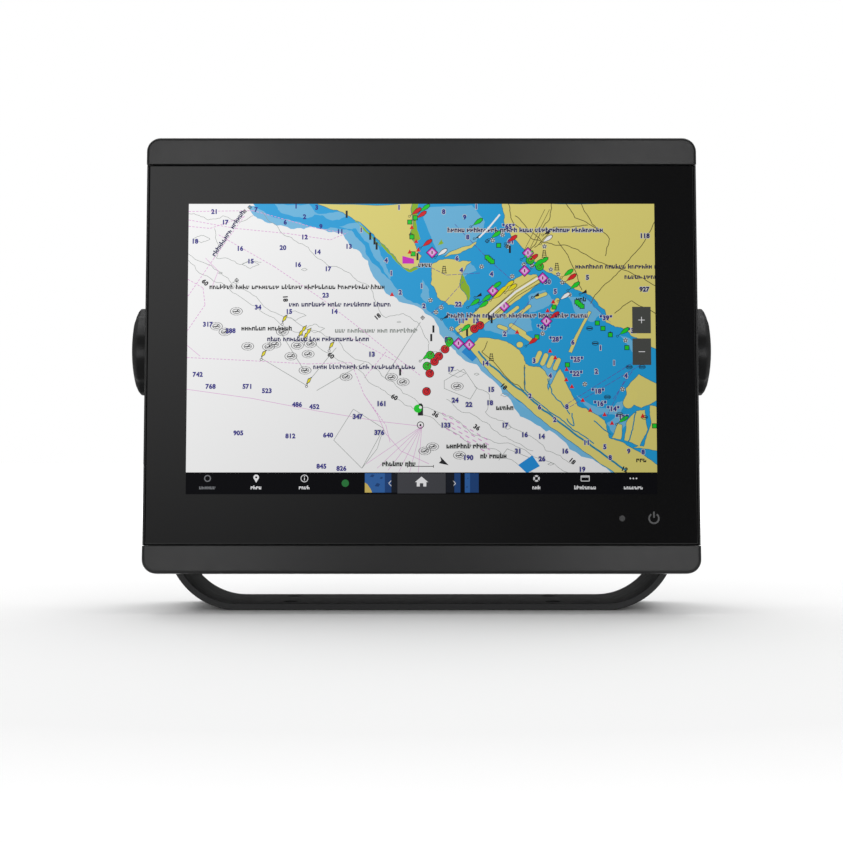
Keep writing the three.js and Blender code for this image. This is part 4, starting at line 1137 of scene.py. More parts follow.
ISLANDS = (
    ([(60, H), (72, 131.6), (80, 127), (88, 119), (94, 112.5), (98, 108), (103, 104.5), (107, 106.5),
      (108.5, 111), (105.5, 116), (103, 121), (104.5, 127), (104, H)], 0.9),
    ([(113.4, 107), (112.8, 98), (116, 91.5), (121, 88), (128, 88.2), (129.6, 91), (126.4, 96),
      (127.6, 103), (131.6, 108.4), (126, 108.2), (119, 109.4)], 0.7),
    ([(119, 110.6), (126, 112.2), (132, 115), (134, 117.6), (130, 115.6), (123, 113.4)], 0.4),
    ([(146, H), (147, 127), (151, 119.5), (157, 113.5), (162, 108), (169, 103), (175, 98.6), (182, 94.6),
      (189, 90.6), (193.4, 86), (194, 80), (200, 77.6), (206, 73.4), (211, 70.4), (W + 1, 67),
      (W + 1, H + 1)], 0.9),
    ([(124, 77), (131, 82.6), (140, 90), (149, 97.4), (156, 102.6), (162, 102.2), (163.6, 98.4),
      (158, 94), (150, 88), (141, 81.6), (134, 76), (128, 72.4)], 0.5),
    ([(131, 67.4), (135, 72.6), (147, 71), (153.6, 67), (156.6, 60.4), (163, 59), (167.6, 54),
      (167, 47.6), (172.6, 58), (177, 48), (180.6, 40.8), (188, 37.4), (193, 34), (195, 26), (203, 22.6),
      (W + 1, 13), (W + 1, BAR_H - 2), (200, BAR_H - 2), (188, 16.6), (174, 27), (162, 36), (150, 46.4),
      (139, 58)], 0.7),
    ([(203, 49), (209, 55.6), (W + 1, 51), (W + 1, 44), (210, 40), (204, 42.6)], 0.4),
    ([(202, 25), (203, 33), (208, 38.6), (211.6, 39), (212.8, 30), (209, 22)], 0.5),
    ([(206, 21.6), (211, 22), (214.6, 33), (214, 41), (W + 1, 40), (W + 1, 20)], 0.5),
    ([(196.4, 26), (199, 33), (201, 32), (200.4, 25.4)], 0.3),
    ([(176.6, 66), (180, 74), (186, 85), (187.2, 84.6), (181.2, 73.4), (178, 65.6)], 0.2),
)


def islands():
    for outline, roughness in ISLANDS:
        shape = coast(outline, roughness)
        LAND.poly(shape)
        SHORE.line(shape + shape[:1], 0.5)
    green_fringes = ([(88, 119), (94, 111.6), (99, 106), (103, 103.4), (107, 105.4), (104, 106),
                      (98, 109), (93, 115)],
                     [(76, 130), (84, 122), (90, 115), (86, 119), (80, 125)],
                     [(103, 116), (108, 119), (106, 128), (107, H), (103, H), (103.6, 126), (101.6, 121)],
                     [(127, 92), (130.6, 90), (131, 95), (127.4, 103), (126.4, 98)],
                     [(116, 116), (119, 117), (117.6, 119)])
    for outline in green_fringes:
        GREEN.poly(coast(outline, 0.7))
    fingers = [(139 + 5.6 * i, 83.4 + 0.6 * i, 8.6, 1.5, 38) for i in range(4)]
    fingers += [(153, 76.5, 9, 2.1, -32), (157, 73, 8, 1.9, -34), (154, 69.4, 3, 2.6, 0),
                (146, 77.4, 5, 1.7, -20)]
    fingers += [(162.4 + 2.9 * i, 63.6 - 1.1 * i, 6.2, 2.1, 66) for i in range(4)]
    fingers += [(170.4, 88, 7, 2, 62), (164, 92.4, 6, 1.6, 20), (150.4, 128, 8, 1.4, 60),
                (205, 44, 9, 5, 62)]
    for x, z, length, width, turn in fingers:
        LAND.poly(capsule(x, z, length, width, math.radians(turn)))
        shape = capsule(x, z, length + 0.5, width + 0.5, math.radians(turn))
        SHORE.poly(shape)
    for line in ([(167, 53.6), (168.6, 47), (173, 42.6), (177, 37)],
                 [(156.4, 59), (156.2, 48.6), (163, 42), (170, 36.6),
                  (178, 30), (188, 23.4)], [(178, 37.6), (178.8, 31.6), (175.6, 35)],
                 [(207.6, 38), (206, 30),
                  (203.6, 24)], [(188, 34), (196, 27.6)]):
        DETAIL.line(wander(line, 0.6), 0.55)
    waterway = [(134.8, 66.4), (140.8, 59.4), (147.3, 53.8), (154.7, 48.2), (164, 39.4), (172.5, 33),
                (189, 20.8), (203, 11)]
    DETAIL.line(wander(waterway, 0.5), 0.9)


def capsule(x, z, length, width, turn):
    """A long island with round ends."""
    points = []
    for end in (1, -1):
        for step in range(7):
            angle = math.pi * (step / 6 - 0.5) + (0 if end > 0 else math.pi)
            px = end * (length - width) / 2 + width / 2 * math.cos(angle)
            pz = width / 2 * math.sin(angle)
            points.append((x + px * math.cos(turn) - pz * math.sin(turn),
                           z + px * math.sin(turn) + pz * math.cos(turn)))
    return points


def roads():
    for line in ([(W, 97), (206, 103), (196, 106), (186, 111), (176, 116), (168, 117), (160, 119),
                  (151, 127), (149, H)],
                 [(187, 88.6), (194, 98), (203, 107), (211, 116), (W, 127)],
                 [(158, 112), (163, 120), (168, 128), (169, H)],
                 [(194, 111), (196, 119), (188, 126), (183, H)], [(161, 115), (170, 124.6), (186, 125.6)],
                 [(172, 118), (180, 104), (183, 95)], [(152, 130), (160, 122), (164, 118.6)],
                 [(W, 84), (206, 90), (198, 84)],
                 [(139, 71), (136.4, 66), (150, 52), (156, 48)], [(156.2, 60), (156.4, 49)],
                 [(176, H), (180, 129), (190, 124)]):
        ROAD.line(wander(line, 0.7), 0.36)
    for shift in (-0.7, 0.7):
        ROAD.line([(140 + shift, 83.4 - shift), (152 + shift, 94 - shift), (163 + shift, 101 - shift)],
                  0.25)
    MARK_WHITE.line([(140, 83.4), (152, 94), (162.6, 100.6)], 0.9)
    MARK_WHITE.line([(135.2, 119.6), (139.6, 124), (145, 130.6)], 0.8)
    for shift in (-0.9, 0.9):
        ROAD.line([(139.4 + shift, 82.4 - shift), (152 + shift, 93 - shift),
                   (163.4 + shift, 99.8 - shift)], 0.3)
    for shift in (0, 2.2):
        ROAD.line([(156 + shift, 113), (166 + shift, 133)], 0.25)


def contours():
    lines = (
        [(0, 109), (12, 99), (24, 92), (40, 82), (56, 72), (70, 62), (84, 52), (96, 45), (106, 39),
         (118, 31), (134, 22), (150, 16), (170, 8)],
        [(0, 112), (14, 104), (22, 96), (34, 89), (48, 82), (62, 75), (76, 64), (90, 55), (104, 45),
         (116, 38), (128, 31), (142, 24), (158, 19), (176, 10)],
        [(34, 132), (42, 124), (50, 118), (60, 110), (66, 106), (76, 102), (84, 97), (87, 90), (92, 82),
         (100, 84), (108, 78), (112, 70), (110, 62)],
        [(0, 131), (9, 128), (16, 130), (24, 127), (30, 130)],
        [(12, 124), (14, 116), (13, 110), (24, 107), (34, 108)],
        [(133, 50), (140, 46), (138, 38), (146, 34), (152, 30), (160, 26), (166, 20), (178, 14)],
        [(120, 44), (127, 38), (140, 32), (150, 25), (160, 20)],
    )
    for line in lines:
        CONTOUR.line(wander(line, 2.4), 0.2)
    rings = ((6, 119, 4), (22, 98.6, 1.4), (15, 103, 1), (54, 104.6, 1.4), (98, 80, 1), (50, 83, 5),
             (59, 77, 4.6), (125, 56, 4), (148, 31, 2), (147, 46, 2), (168, 14, 1.4), (115, 65, 3),
             (134, 55.6, 1.2), (29, 107, 4))
    for x, z, size in rings:
        shape = coast([(x - size, z), (x, z + size * 0.45), (x + size, z), (x, z - size * 0.45)], 1.4)
        CONTOUR.line(shape + shape[:1], 0.2)
    CONTOUR.line([(68, 25), (77, 39.4), (91, 30.4), (81, 12), (68, 25)], 0.22)
    CONTOUR.line([(81, 12), (88, 21), (91, 30.4)], 0.22)
    CONTOUR.line([(119, 52.6), (128, 58), (134, 49), (131, 44), (119, 49), (119, 52.6)], 0.22)
    CONTOUR.line([(144, 15.6), (148, 21), (158, 17)], 0.22)
    for start, end in (((60, 48), (82, 61)), ((108, 80), (92, 55)), ((55, 56), (42, 77)),
                       ((34.4, 63), (56, 50)),
                       ((69, 68), (56, 52))):
        CONTOUR.line([start, end], 0.24)


def routes():
    dashed = ([(0, 132), (30, 132.4), (60, 124), (72, 122)],
              [(0, 128), (22, 124), (46, 121.6), (66, 118.6), (74, 122)],
              [(0, 125), (10, 124), (26, 129.6)],
              [(14, 121), (40, 106), (62, 91), (80, 77), (96, 64), (108, 55)],
              [(0, 63.4), (28, 62), (56, 60.4), (76, 61), (82, 46), (92, 32)],
              [(26, 130), (12, 110), (0, 92)],
              [(92, 66), (82, 54)], [(0, 100), (7, 96), (8, 88), (0, 76)], [(75, 73), (96, 62), (100, 56)])
    for line in dashed:
        ROUTE.line(line, 0.3, (1.1, 0.6))
    for line in ([(0, 48.6), (30, 44.4), (60, 38.6), (90, 33.6), (109, 31.4)], [(0, 69), (6, 64)],
                 [(8, 110), (14, 104), (11, 96)], [(82, 46), (88, 37), (92, 28), (99, 20), (112, 14)],
                 [(92, 32), (94, 24)]):
        ROUTE.line(line, 0.22)
    for end in ((83, 14), (88, 12), (93, 11), (98, 10.4), (103, 10.2), (107, 10.2)):
        ROUTE.line([(108.6, 31.4), end], 0.2)
    for row in range(4):
        for step in range(7):
            x, z = 118 + 3.2 * step + 0.6 * row, 37.6 - 1.9 * step - 2.4 * row
            ROUTE.line([(x, z), (x + 1.7, z - 1)], 0.45)
    for line in ([(150, 100), (140, 109), (124, 126)], [(160, 92), (152, 80), (147, 74)],
                 [(176, 42), (192, 52), (208, 62)],
                 [(177, 40.4), (194, 50.4), (210, 60)], [(194, 36), (204, 56)],
                 [(108, 108), (120, 102), (136, 103)],
                 [(184, 93), (190, 86), (196, 80)], [(113, 84), (120, 90), (128, 99)],
                 [(197, 44), (206, 57)]):
        LINE.line(line, 0.24, (2.2, 0.5))


def buoy(ink, x, z, turn=0.62):
    """A leaning lit buoy: a teardrop on a thin stem."""
    def spun(px, pz):
        return (x + px * math.cos(turn) - pz * math.sin(turn),
                z + px * math.sin(turn) + pz * math.cos(turn))
    drop = ((-1.2, -0.45), (0.6, -0.85), (2.2, -0.6), (2.8, 0), (2.2, 0.6), (0.6, 0.85), (-1.2, 0.45),
            (-2.3, 0))
    BLACK.poly([spun(px * 1.12, pz * 1.32) for px, pz in drop])
    BLACK.line([spun(-2.3, 0), spun(-3.4, 0)], 0.25)
    BLACK.ring(*spun(-3.9, 0), 0.5, 0.2, 10)
    ink.poly([spun(px, pz) for px, pz in drop])


def square(x, z):
    BLACK.poly([(x - 1.15, z - 1.15), (x + 1.15, z - 1.15), (x + 1.15, z + 1.15), (x - 1.15, z + 1.15)])
    MARK_GREEN.poly([(x - 0.85, z - 0.85), (x + 0.85, z - 0.85), (x + 0.85, z + 0.85),
                     (x - 0.85, z + 0.85)])


def triangle(x, z):
    MARK_RED.poly([(x - 1.05, z - 0.9), (x + 1.05, z - 0.9), (x, z + 1.1)])


def lozenge(x, z):
    BLACK.poly([(x - 1.3, z - 1.5), (x + 0.5, z - 0.5), (x + 1.4, z + 2), (x - 0.5, z + 1.1)])
    MARK_YELLOW.poly([(x - 0.9, z - 1), (x + 0.3, z - 0.3), (x + 1, z + 1.5), (x - 0.3, z + 0.8)])
    BLACK.line([(x - 0.6, z - 1.1), (x - 1, z - 2)], 0.3)
    BLACK.ring(x - 1.1, z - 2.5, 0.55, 0.22, 10)


def wreck(x, z):
    BLACK.ring(x, z, 2.8, 0.3, 26, 0.64, (0.36, 0.3))
    BLACK.ring(x, z, 1.75, 0.26, 18, 0.6)
    BLACK.line([(x - 1.5, z - 0.1), (x + 1.3, z - 0.1)], 0.36)
    BLACK.line([(x - 0.5, z - 0.5), (x + 0.9, z + 0.7)], 0.42)


def diamond(x, z, size=2.5):
    for scale, ink in ((1.16, BLACK), (1.0, MARK_MAGENTA), (0.7, MARK_PINK)):
        r = size * scale
        ink.poly([(x, z - r), (x + r, z), (x, z + r), (x - r, z)])
    MARK_RIM.line([(x, z - 0.7), (x, z + 0.8)], 0.5)


def target(ink, x, z):
    """A lit channel mark: a filled disc with a dark rim, ring and pointer."""
    BLACK.disc(x, z, 2.05, 18)
    ink.disc(x, z, 1.75, 18)
    MARK_RIM.ring(x, z, 0.95, 0.28, 16)
    MARK_RIM.line([(x, z), (x + 1.3, z + 1.7)], 0.4)


def flare(x, z):
    """A black light flare beside a small ring."""
    BLACK.poly([(x - 1.4, z - 0.9), (x + 1.5, z - 0.3), (x + 1.2, z + 1.3)])
    BLACK.ring(x - 1.7, z - 1, 0.5, 0.22, 10)


def star(x, z):
    """A small five-armed light star with a halo."""
    HALO.disc(x, z, 1.1, 10)
    arms = [(x + r * math.sin(0.2 * math.pi * i), z + r * math.cos(0.2 * math.pi * i))
            for i, r in enumerate((1.05, 0.42) * 5)]
    BLACK.line(arms + arms[:1], 0.24)


def beacon(x, z, height=3.4):
    BLACK.line([(x, z), (x, z + height)], 0.95)


def marks():
    for x, z in ((103, 127), (105.6, 129), (104, 120), (104.6, 112), (170, 87), (190, 79.5), (192.6, 77),
                 (196, 74),
                 (203.6, 68), (176, 60), (144.4, 116), (216, 31.6), (162, 73)):
        square(x, z)
    for x, z in ((104, 124.6), (106, 118), (103, 113), (107, 114), (168, 66.6), (170.4, 63.4),
                 (175.6, 58), (175.4, 53.2), (178, 50), (183, 43.6), (186.4, 39), (193, 37), (196.4, 33),
                 (210.6, 36.4), (167, 85.4), (169.6, 89.6),
                 (152.8, 75.4), (94.8, 93)):
        triangle(x, z)
    for x, z in ((45, 81.4), (54, 76.6), (56.2, 75.4), (52.6, 74.6), (55, 73.6), (66.8, 69), (35.4, 65),
                 (56.4, 52.4)):
        lozenge(x, z)
    for x, z in ((22.6, 85), (13.4, 78), (17.4, 75.4), (44, 75.4), (28, 68.6), (37.6, 68.4), (40.6, 69.6),
                 (51, 69), (57, 69.8), (48, 64), (56, 65), (54.6, 57.4), (73.6, 54.4), (94.6, 54.2),
                 (100, 52), (125, 50),
                 (126, 18), (110, 20), (113.6, 22)):
        wreck(x, z)
    for x, z in ((113.4, 112.6), (156.4, 104), (164.8, 100.6), (146.8, 87.4), (141.6, 94.6),
                 (166.4, 80.4), (125.6, 70),
                 (130.6, 69.4), (158, 112.4)):
        diamond(x, z)
    for x, z in ((119.4, 67.3), (116.5, 64), (114.5, 61.5), (112.3, 56), (110.8, 47.6), (133, 76.8),
                 (135.6, 78.4)):
        target(MARK_RED, x, z)
    for x, z in ((112.5, 64.5), (111, 59.4), (121.3, 71), (159, 109), (163.4, 106)):
        target(MARK_GREEN, x, z)
    for ink, spots in (
        (MARK_GREEN, ((134.6, 127), (143, 121), (158, 111.6), (162.6, 107.6), (165, 108.6), (176.6, 103),
                      (179.6, 97), (143, 97), (133, 89), (137, 88), (128.6, 77), (120.6, 69), (111, 64),
                      (202.4, 75.6), (201.6, 34.6), (110, 133.6), (138.4, 91))),
        (MARK_RED, ((111, 117), (150.6, 119), (160.2, 110), (178, 100.8), (160, 71), (170, 83), (106, 132),
                    (108.4, 130.4))),
        (MARK_WHITE, ((167, 119), (118, 112.6), (175, 92))),
        (MARK_YELLOW, ((146, 95), (149, 97.6), (150.4, 96), (145, 94),
                      (143.6, 92.4)))):
        for x, z in spots:
            buoy(ink, x, z)
    for x, z in ((134.7, 120.1), (166.6, 121.9), (135, 92.5), (161.6, 92.5), (183.8, 94), (119.5, 82.3)):
        flare(x, z)
    for x, z in ((141.6, 118.4), (146.2, 121), (148.8, 115.5), (165.7, 115.5), (156.1, 107),
                 (159.9, 106.5), (173.9, 98.6), (177.2, 92.8), (172, 102.4), (168.6, 104.6),
                 (150.6, 101.4), (136.4, 106), (203, 71.4), (164.6, 74.6), (126.8, 76.2), (122.4, 76.8),
                 (115.2, 84.6), (117.6, 86.8), (112.6, 90.2), (184, 51),
                 (201.4, 48.6)):
        star(x, z)
    for start_x, start_z in ((139, 110.4), (180.6, 89.4)):
        for step in range(4):
            square(start_x + 0.8 * step, start_z - 0.7 * step)
    for x, z in ((73.6, 129), (84.6, 118.6), (86.6, 116.4), (87.6, 114), (98.6, 55), (106.6, 109),
                 (149.6, 112.4),
                 (114, 75), (113, 71), (139.8, 81), (141, 79.4), (129.6, 73.4)):
        beacon(x, z)
    for x, z in ((119, 103), (140.8, 62), (171.4, 104.4), (165.6, 110.4)):
        for level in range(4):
            BLACK.line([(x - 1.2 + 0.15 * level, z + level), (x + 1.2 - 0.15 * level, z + level)], 0.32)
        BLACK.line([(x - 0.9, z), (x - 0.4, z + 3.4)], 0.26)
        BLACK.line([(x + 0.9, z), (x + 0.4, z + 3.4)], 0.26)
    for x, z in ((26, 132), (28.4, 134), (109, 82), (22.6, 99.6), (103.6, 121), (139, 118), (148, 115.6),
                 (196, 74.6)):
        BLACK.ring(x, z, 0.75, 0.25, 10)
        BLACK.line([(x - 1.1, z), (x + 1.1, z)], 0.2)
        BLACK.line([(x, z - 1.1), (x, z + 1.1)], 0.2)
    for x, z in ((186.4, 77), (189, 70), (204.6, 59), (194.4, 45), (210.6, 59), (200, 37), (211.4, 35.6)):
        BLACK.ring(x, z, 1.5, 0.25, 16, 0.6)
        BLACK.line([(x - 1.2, z), (x + 1.2, z)], 0.55)
    MARK_MAGENTA.poly([(99.6, 107.4), (105, 107.4), (105, 109.6), (99.6, 111)])
    BLACK.ring(108, 32, 1.5, 0.35, 18)
    BLACK.disc(108, 32, 0.5)
    MARK_GREEN.disc(106.8, 39.6, 1.9, 16)
    BLACK.poly([(106.8, 36.4), (109.2, 36.4), (109.2, 41), (108.6, 42), (107.4, 42), (106.8, 41)])
    MARK_WHITE.disc(108, 40.2, 0.7, 10)
    BLACK.poly([(117, 17.6), (121, 13.4), (116.4, 14.4), (117.6, 15.6)])
    BLACK.line([(102, 12.9), (114, 12.9)], 0.3)
    BLACK.line([(102, 12.3), (102, 13.5)], 0.3)
    BLACK.line([(114, 12.3), (114, 13.5)], 0.3)


SOUNDINGS = (
    (12, 132, "21", 0.9), (17, 127, "17"), (3, 118, "18"), (24, 114.6, "16"), (29, 108.6, "15"),
    (44, 115, "20"),
    (51, 107, "16"), (60, 113, "14"), (74.6, 115.6, "13"), (54, 120, "12"), (70.6, 122.6, "11"),
    (61.6, 125, "9"),
    (45, 127, "6"), (54, 129.6, "2"), (31.4, 133, "7"), (50, 134.6, "1"), (59.6, 134, "3"), (65, 105, "17"),
    (64, 92.6, "23"), (32.6, 87, "34"), (47, 85, "15"), (68, 85, "14"), (9.4, 79, "317"), (20, 76, "288"),
    (85.4, 65, "13"), (5, 55.6, "742"), (11, 50, "768"), (28, 50, "571"), (37, 48, "523"),
    (51, 41.6, "486"),
    (59, 40.6, "452"), (90, 42, "161"), (79, 36, "347"), (24, 28.4, "905"), (48, 27, "812"),
    (65.4, 27.4, "640"),
    (89, 28.6, "376"), (62.4, 13, "845"), (71.6, 12, "826"), (122, 58, "17"), (138, 60.8, "14"),
    (140.6, 48.6, "15"),
    (140, 42.4, "18"), (124, 43.6, "24"), (130.4, 41.6, "22"), (119.6, 32, "133"), (147, 32, "17"),
    (156, 27.6, "16"),
    (163.8, 26.8, "14"), (174.6, 20, "16"), (164, 16.4, "26"), (153, 20, "31"), (182.4, 11.6, "19"),
    (130, 17, "190"), (184.6, 24, "11"), (195.4, 17, "8"), (193, 22, "5"), (212.4, 120.6, "118"),
    (212, 95.4, "927"),
    (185.6, 101, "5"), (191.4, 68, "1"), (189.4, 57, "2"), (197.6, 61, "1"), (203, 55, "4"),
    (170, 34.6, "2"),
    (158.6, 45.6, "2"), (163, 40.4, "6"), (175.6, 40.6, "8"), (141, 102.6, "4"), (127, 104.4, "4"),
    (108.6, 97, "1"),
    (109.6, 87.6, "2"), (98.6, 94, "2"), (118.8, 132, "8"), (128.6, 129.4, "9"), (130, 120, "8"),
    (125, 110, "6"),
    (92, 109, "4"), (94.4, 103, "1"), (98, 134, "1"), (147, 74.6, "2"), (168, 55, "4"), (160.6, 62, "3"),
    (178.6, 70.6, "6"), (134, 134.4, "1"), (80.4, 123.4, "1"), (204, 20, "9"), (210.6, 19.6, "8"),
    (167, 99, "30"),
    (170.6, 72, '"28"'), (180.4, 62.6, '"25"'), (180, 56, '"22"'), (190, 47.8, '"18"'), (191, 42, '"16"'),
    (197, 39.6, '"14"'),
    (201, 35.6, '"12"'), (207, 76, '"35"'), (194, 82, '"39"'), (149, 125, '"65"'), (150, 118, "61"),
    (165, 77.6, '"43"'),
    (127, 80.6, '"11"'), (120, 72, "8"), (125.6, 88.4, "22"), (170.6, 94.4, "5"), (133.6, 80.6, "13"),
)
TILTED_SOUNDINGS = (
    (8, 98.6, "60", -0.75), (45.4, 91, "18", -1.5), (66.6, 64.4, "60", -0.7), (96, 45, "60", -0.5),
    (115, 37, "36", -0.6), (134, 31, "36", -0.6), (146.6, 50, "18", -0.8), (88, 82.6, "18", 0.7),
    (178, 15.4, "18", -0.7), (202, 11.6, "12", -0.4),
)
LABELS = (  # stand-ins for place names: (x, z, letters in each word, ink, turn in degrees)
    (10, 95.4, (7, 4, 8, 6, 9, 9, 4), "BLACK", 0), (47, 87.2, (3, 7, 4, 8, 5), "NAVY", 0),
    (25, 76, (7, 7), "BLACK", 0), (37, 71, (4, 7, 3, 9, 4), "NAVY", 0),
          (68.4, 75, (3, 8, 3, 8), "CONTOUR", 0),
    (58.4, 58, (4, 8, 3, 8, 4), "NAVY", 0), (120.6, 122.2, (5, 9, 5, 4, 10, 9), "NAVY", 0),
    (120.4, 82, (5, 4, 7, 8, 4, 4, 5), "NAVY", 0), (180, 105, (8, 6, 7, 2), "NAVY", 0),
          (202.8, 100.2, (5, 4), "NAVY", 0),
    (12.5, 110.6, (9, 6), "NAVY", 57), (143, 39, (5,), "BLACK", 0), (120, 21.2, (7, 4), "BLACK", 0),
    (135.6, 16.6, (2, 5), "BLACK", 0), (90.4, 13, (6, 3), "BLACK", 0), (207.4, 14.8, (3,), "BLACK", 0),
    (180.2, 89.6, (3,), "BLACK", 0), (107, 105.8, (4,), "BLACK", 0),
)


STEM, BRIDGE, TAIL = 0.24, 0.19, 0.18  # widths of a stand-in letter's parts, as shares of its height
LETTER_PITCH = 0.72


def greeked(ink, x, z, words, height=2.25, turn=0.0, halo=0.0):
    """Unreadable stand-in lettering: uneven stems and blocks in word-like groups."""
    c, s = math.cos(math.radians(turn)), math.sin(math.radians(turn))

    def mark(left, width, low, high):
        for colour, grow in ((HALO, halo), (ink, 0.0)) if halo else ((ink, 0.0),):
            x0, x1, z0, z1 = left - grow, left + width + grow, low - grow, high + grow
            outline = ((x0, z0), (x1, z0), (x1, z1), (x0, z1))
            colour.poly([(x + px * c - pz * s, z + px * s + pz * c) for px, pz in outline])

    at = 0.0
    for letters in words:
        for _ in range(letters):
            rise, tall = RANDOM.choice((0.0, 0.27, 0.5)), RANDOM.choice((0.74, 0.74, 0.74, 1.0))
            foot, top = RANDOM.choice(((0.0, 0.74), (0.0, 0.5), (0.3, 0.74)))
            mark(at, STEM * height, 0, tall * height)
            mark(at + STEM * height, BRIDGE * height, rise * height, (rise + 0.24) * height)
            mark(at + (STEM + BRIDGE) * height, TAIL * height, foot * height, top * height)
            at += LETTER_PITCH * height
        at += height * 0.4


def labels():
    for x, z, word, *rest in SOUNDINGS:
        if x > 76:
            HALO.text(word, x, z, 2.15, bold=0.13)
        (PLACE if x > 185 and z > 90 else NAVY).text(word, x, z, 2.15)
    for x, z, word, turn in TILTED_SOUNDINGS:
        BLACK.text(word, x, z, 2.1, turn)
    for x, z, words, ink, turn in LABELS:
        greeked({"BLACK": BLACK, "NAVY": PLACE, "CONTOUR": CONTOUR}[ink], x, z, words, turn=turn,
                halo=0.2 if 76 < x < 178 else 0.0)


# Toolbar and zoom keys lie over the chart.
BAR = Ink("toolbar_strip", 11, srgb(3, 3, 4), gloss=0.05)
TAB = Ink("toolbar_tab", 12, srgb(62, 63, 68))
ICON = Ink("toolbar_icons", 13, srgb(246, 246, 248))
DIM_ICON = Ink("toolbar_dim_icons", 13, srgb(120, 122, 126))
PICTURE = Ink("toolbar_pictures", 12, srgb(38, 98, 168))
PICTURE_DEEP = Ink("toolbar_picture_depths", 13, srgb(22, 66, 124), gloss=0.3)
PICTURE_DARK = Ink("toolbar_picture_shade", 13, srgb(5, 13, 26), gloss=0.3)
PICTURE_LAND = Ink("toolbar_picture_land", 13, srgb(212, 188, 96))
SCOPE = Ink("toolbar_scope", 13, srgb(24, 120, 50))
KEY = Ink("zoom_keys", 12, srgb(74, 76, 72))


def toolbar():
    BAR.poly([(0, 0), (W, 0), (W, BAR_H), (0, BAR_H)])
    middle, icon_z, label_z, label_h = BAR_H / 2, 7.3, 2.3, 1.75
    TAB.poly([(97.4, 0.4), (119.6, 0.4), (119.6, BAR_H - 0.4), (97.4, BAR_H - 0.4)])
    for ink, x0, x1 in ((PICTURE, 82.4, 91.6), (PICTURE_DEEP, 91.6, 94.6), (PICTURE_DARK, 94.6, 97.2),
                        (PICTURE_DARK, 119.8, 123.6), (PICTURE_DEEP, 123.6, 126.4), (PICTURE, 128.4, 130.8),
                        (PICTURE_DEEP, 130.8, 134.8)):
        ink.poly([(x0, 0.8), (x1, 0.8), (x1, BAR_H - 0.4), (x0, BAR_H - 0.4)])
    for x, z, size in ((85.8, 8.6, 1.1), (88.2, 4.4, 1.3), (90, 7.6, 0.8), (129.4, 3.4, 0.5),
                       (129.8, 7.4, 0.4)):
        PICTURE_DEEP.poly([(x - size, z - 0.5 * size), (x + 0.4 * size, z - 0.7 * size),
                           (x + size, z + 0.3 * size),
                           (x - 0.2 * size, z + 0.6 * size)])
    PICTURE_LAND.poly([(82.4, 0.8), (85.8, 0.8), (85, 2.6), (83.6, 4.6), (82.4, 5.4)])
    house = ((0, 2.4), (3, -0.2), (2.2, -0.2), (2.2, -2.2), (0.8, -2.2), (0.8, -0.7), (-0.8, -0.7),
             (-0.8, -2.2), (-2.2, -2.2), (-2.2, -0.2), (-3, -0.2))
    ICON.poly([(108.5 + x, 5.8 + z) for x, z in house])
    for x, way in ((94, 1), (123.6, -1)):
        ICON.line([(x + 0.6 * way, middle + 1.3), (x - 0.6 * way, middle), (x + 0.6 * way, middle - 1.3)],
                  0.35)
    for x, words in ((10, (6,)), (32.4, (4,)), (54.6, (4,)), (161.4, (3,)), (183.8, (8,)), (206, (7,))):
        ink = DIM_ICON if x < 20 else ICON
        width = sum(words) * LETTER_PITCH * label_h
        greeked(ink, x - width / 2, label_z, words, label_h)
    DIM_ICON.ring(10, icon_z, 1.35, 0.5, 20)
    ICON.disc(32.4, icon_z + 0.5, 1.3, 18)
    ICON.poly([(31.3, icon_z), (33.5, icon_z), (32.4, icon_z - 2)])
    BAR_HOLE.disc(32.4, icon_z + 0.5, 0.5, 12)
    ICON.ring(54.6, icon_z, 1.6, 0.3, 22)
    ICON.line([(54.6, icon_z - 0.9), (54.6, icon_z + 0.3)], 0.35)
    ICON.disc(54.6, icon_z + 0.8, 0.24, 8)
    SCOPE.disc(73.4, 5.1, 1.7, 20)
    ICON.ring(161.4, icon_z, 1.15, 0.75, 20)
    for turn in range(4):
        angle = math.pi / 4 + turn * math.pi / 2
        c, s = math.cos(angle), math.sin(angle)
        BAR_HOLE.line([(161.4 + 0.8 * c, icon_z + 0.8 * s), (161.4 + 1.6 * c, icon_z + 1.6 * s)], 0.5)
    ICON.line([(181.9, icon_z - 1.2), (185.7, icon_z - 1.2), (185.7, icon_z + 1.2), (181.9, icon_z + 1.2),
               (181.9, icon_z - 1.2)], 0.3)
    ICON.line([(181.9, icon_z + 0.7), (185.7, icon_z + 0.7)], 0.4)
    for shift in (-1.4, 0, 1.4):
        ICON.disc(206 + shift, icon_z, 0.38, 10)
    for z in (80.9, 66.1):
        KEY.poly([(206.2, z - 6.2), (214.8, z - 6.2), (214.8, z + 6.2), (206.2, z + 6.2)])
        ICON.line([(209, z), (212, z)], 0.3)
    ICON.line([(210.5, 79.4), (210.5, 82.4)], 0.3)


BAR_HOLE = Ink("toolbar_icon_cuts", 14, srgb(3, 3, 4), gloss=0.05)


def make_screen():
    water()
    contours()
    routes()
    islands()
    roads()
    marks()
    labels()
    toolbar()
    inks = (SEA, FRINGE, SHOAL, PALE, GREEN, SHORE, LAND, DETAIL, ROAD, CONTOUR, ROUTE, LINE, BLACK, HALO,
            NAVY, PLACE,
            MARK_GREEN, MARK_RED, MARK_YELLOW, MARK_MAGENTA, MARK_WHITE, MARK_PINK, MARK_RIM, MARK_BLUE,
            BAR, TAB, ICON, DIM_ICON,
            PICTURE, PICTURE_DEEP, PICTURE_DARK, PICTURE_LAND, SCOPE, KEY, BAR_HOLE)
    for ink in inks:
        ink.finish()


make_screen()

# ---- stage: floor, lights, camera --------------------------------------------------------------


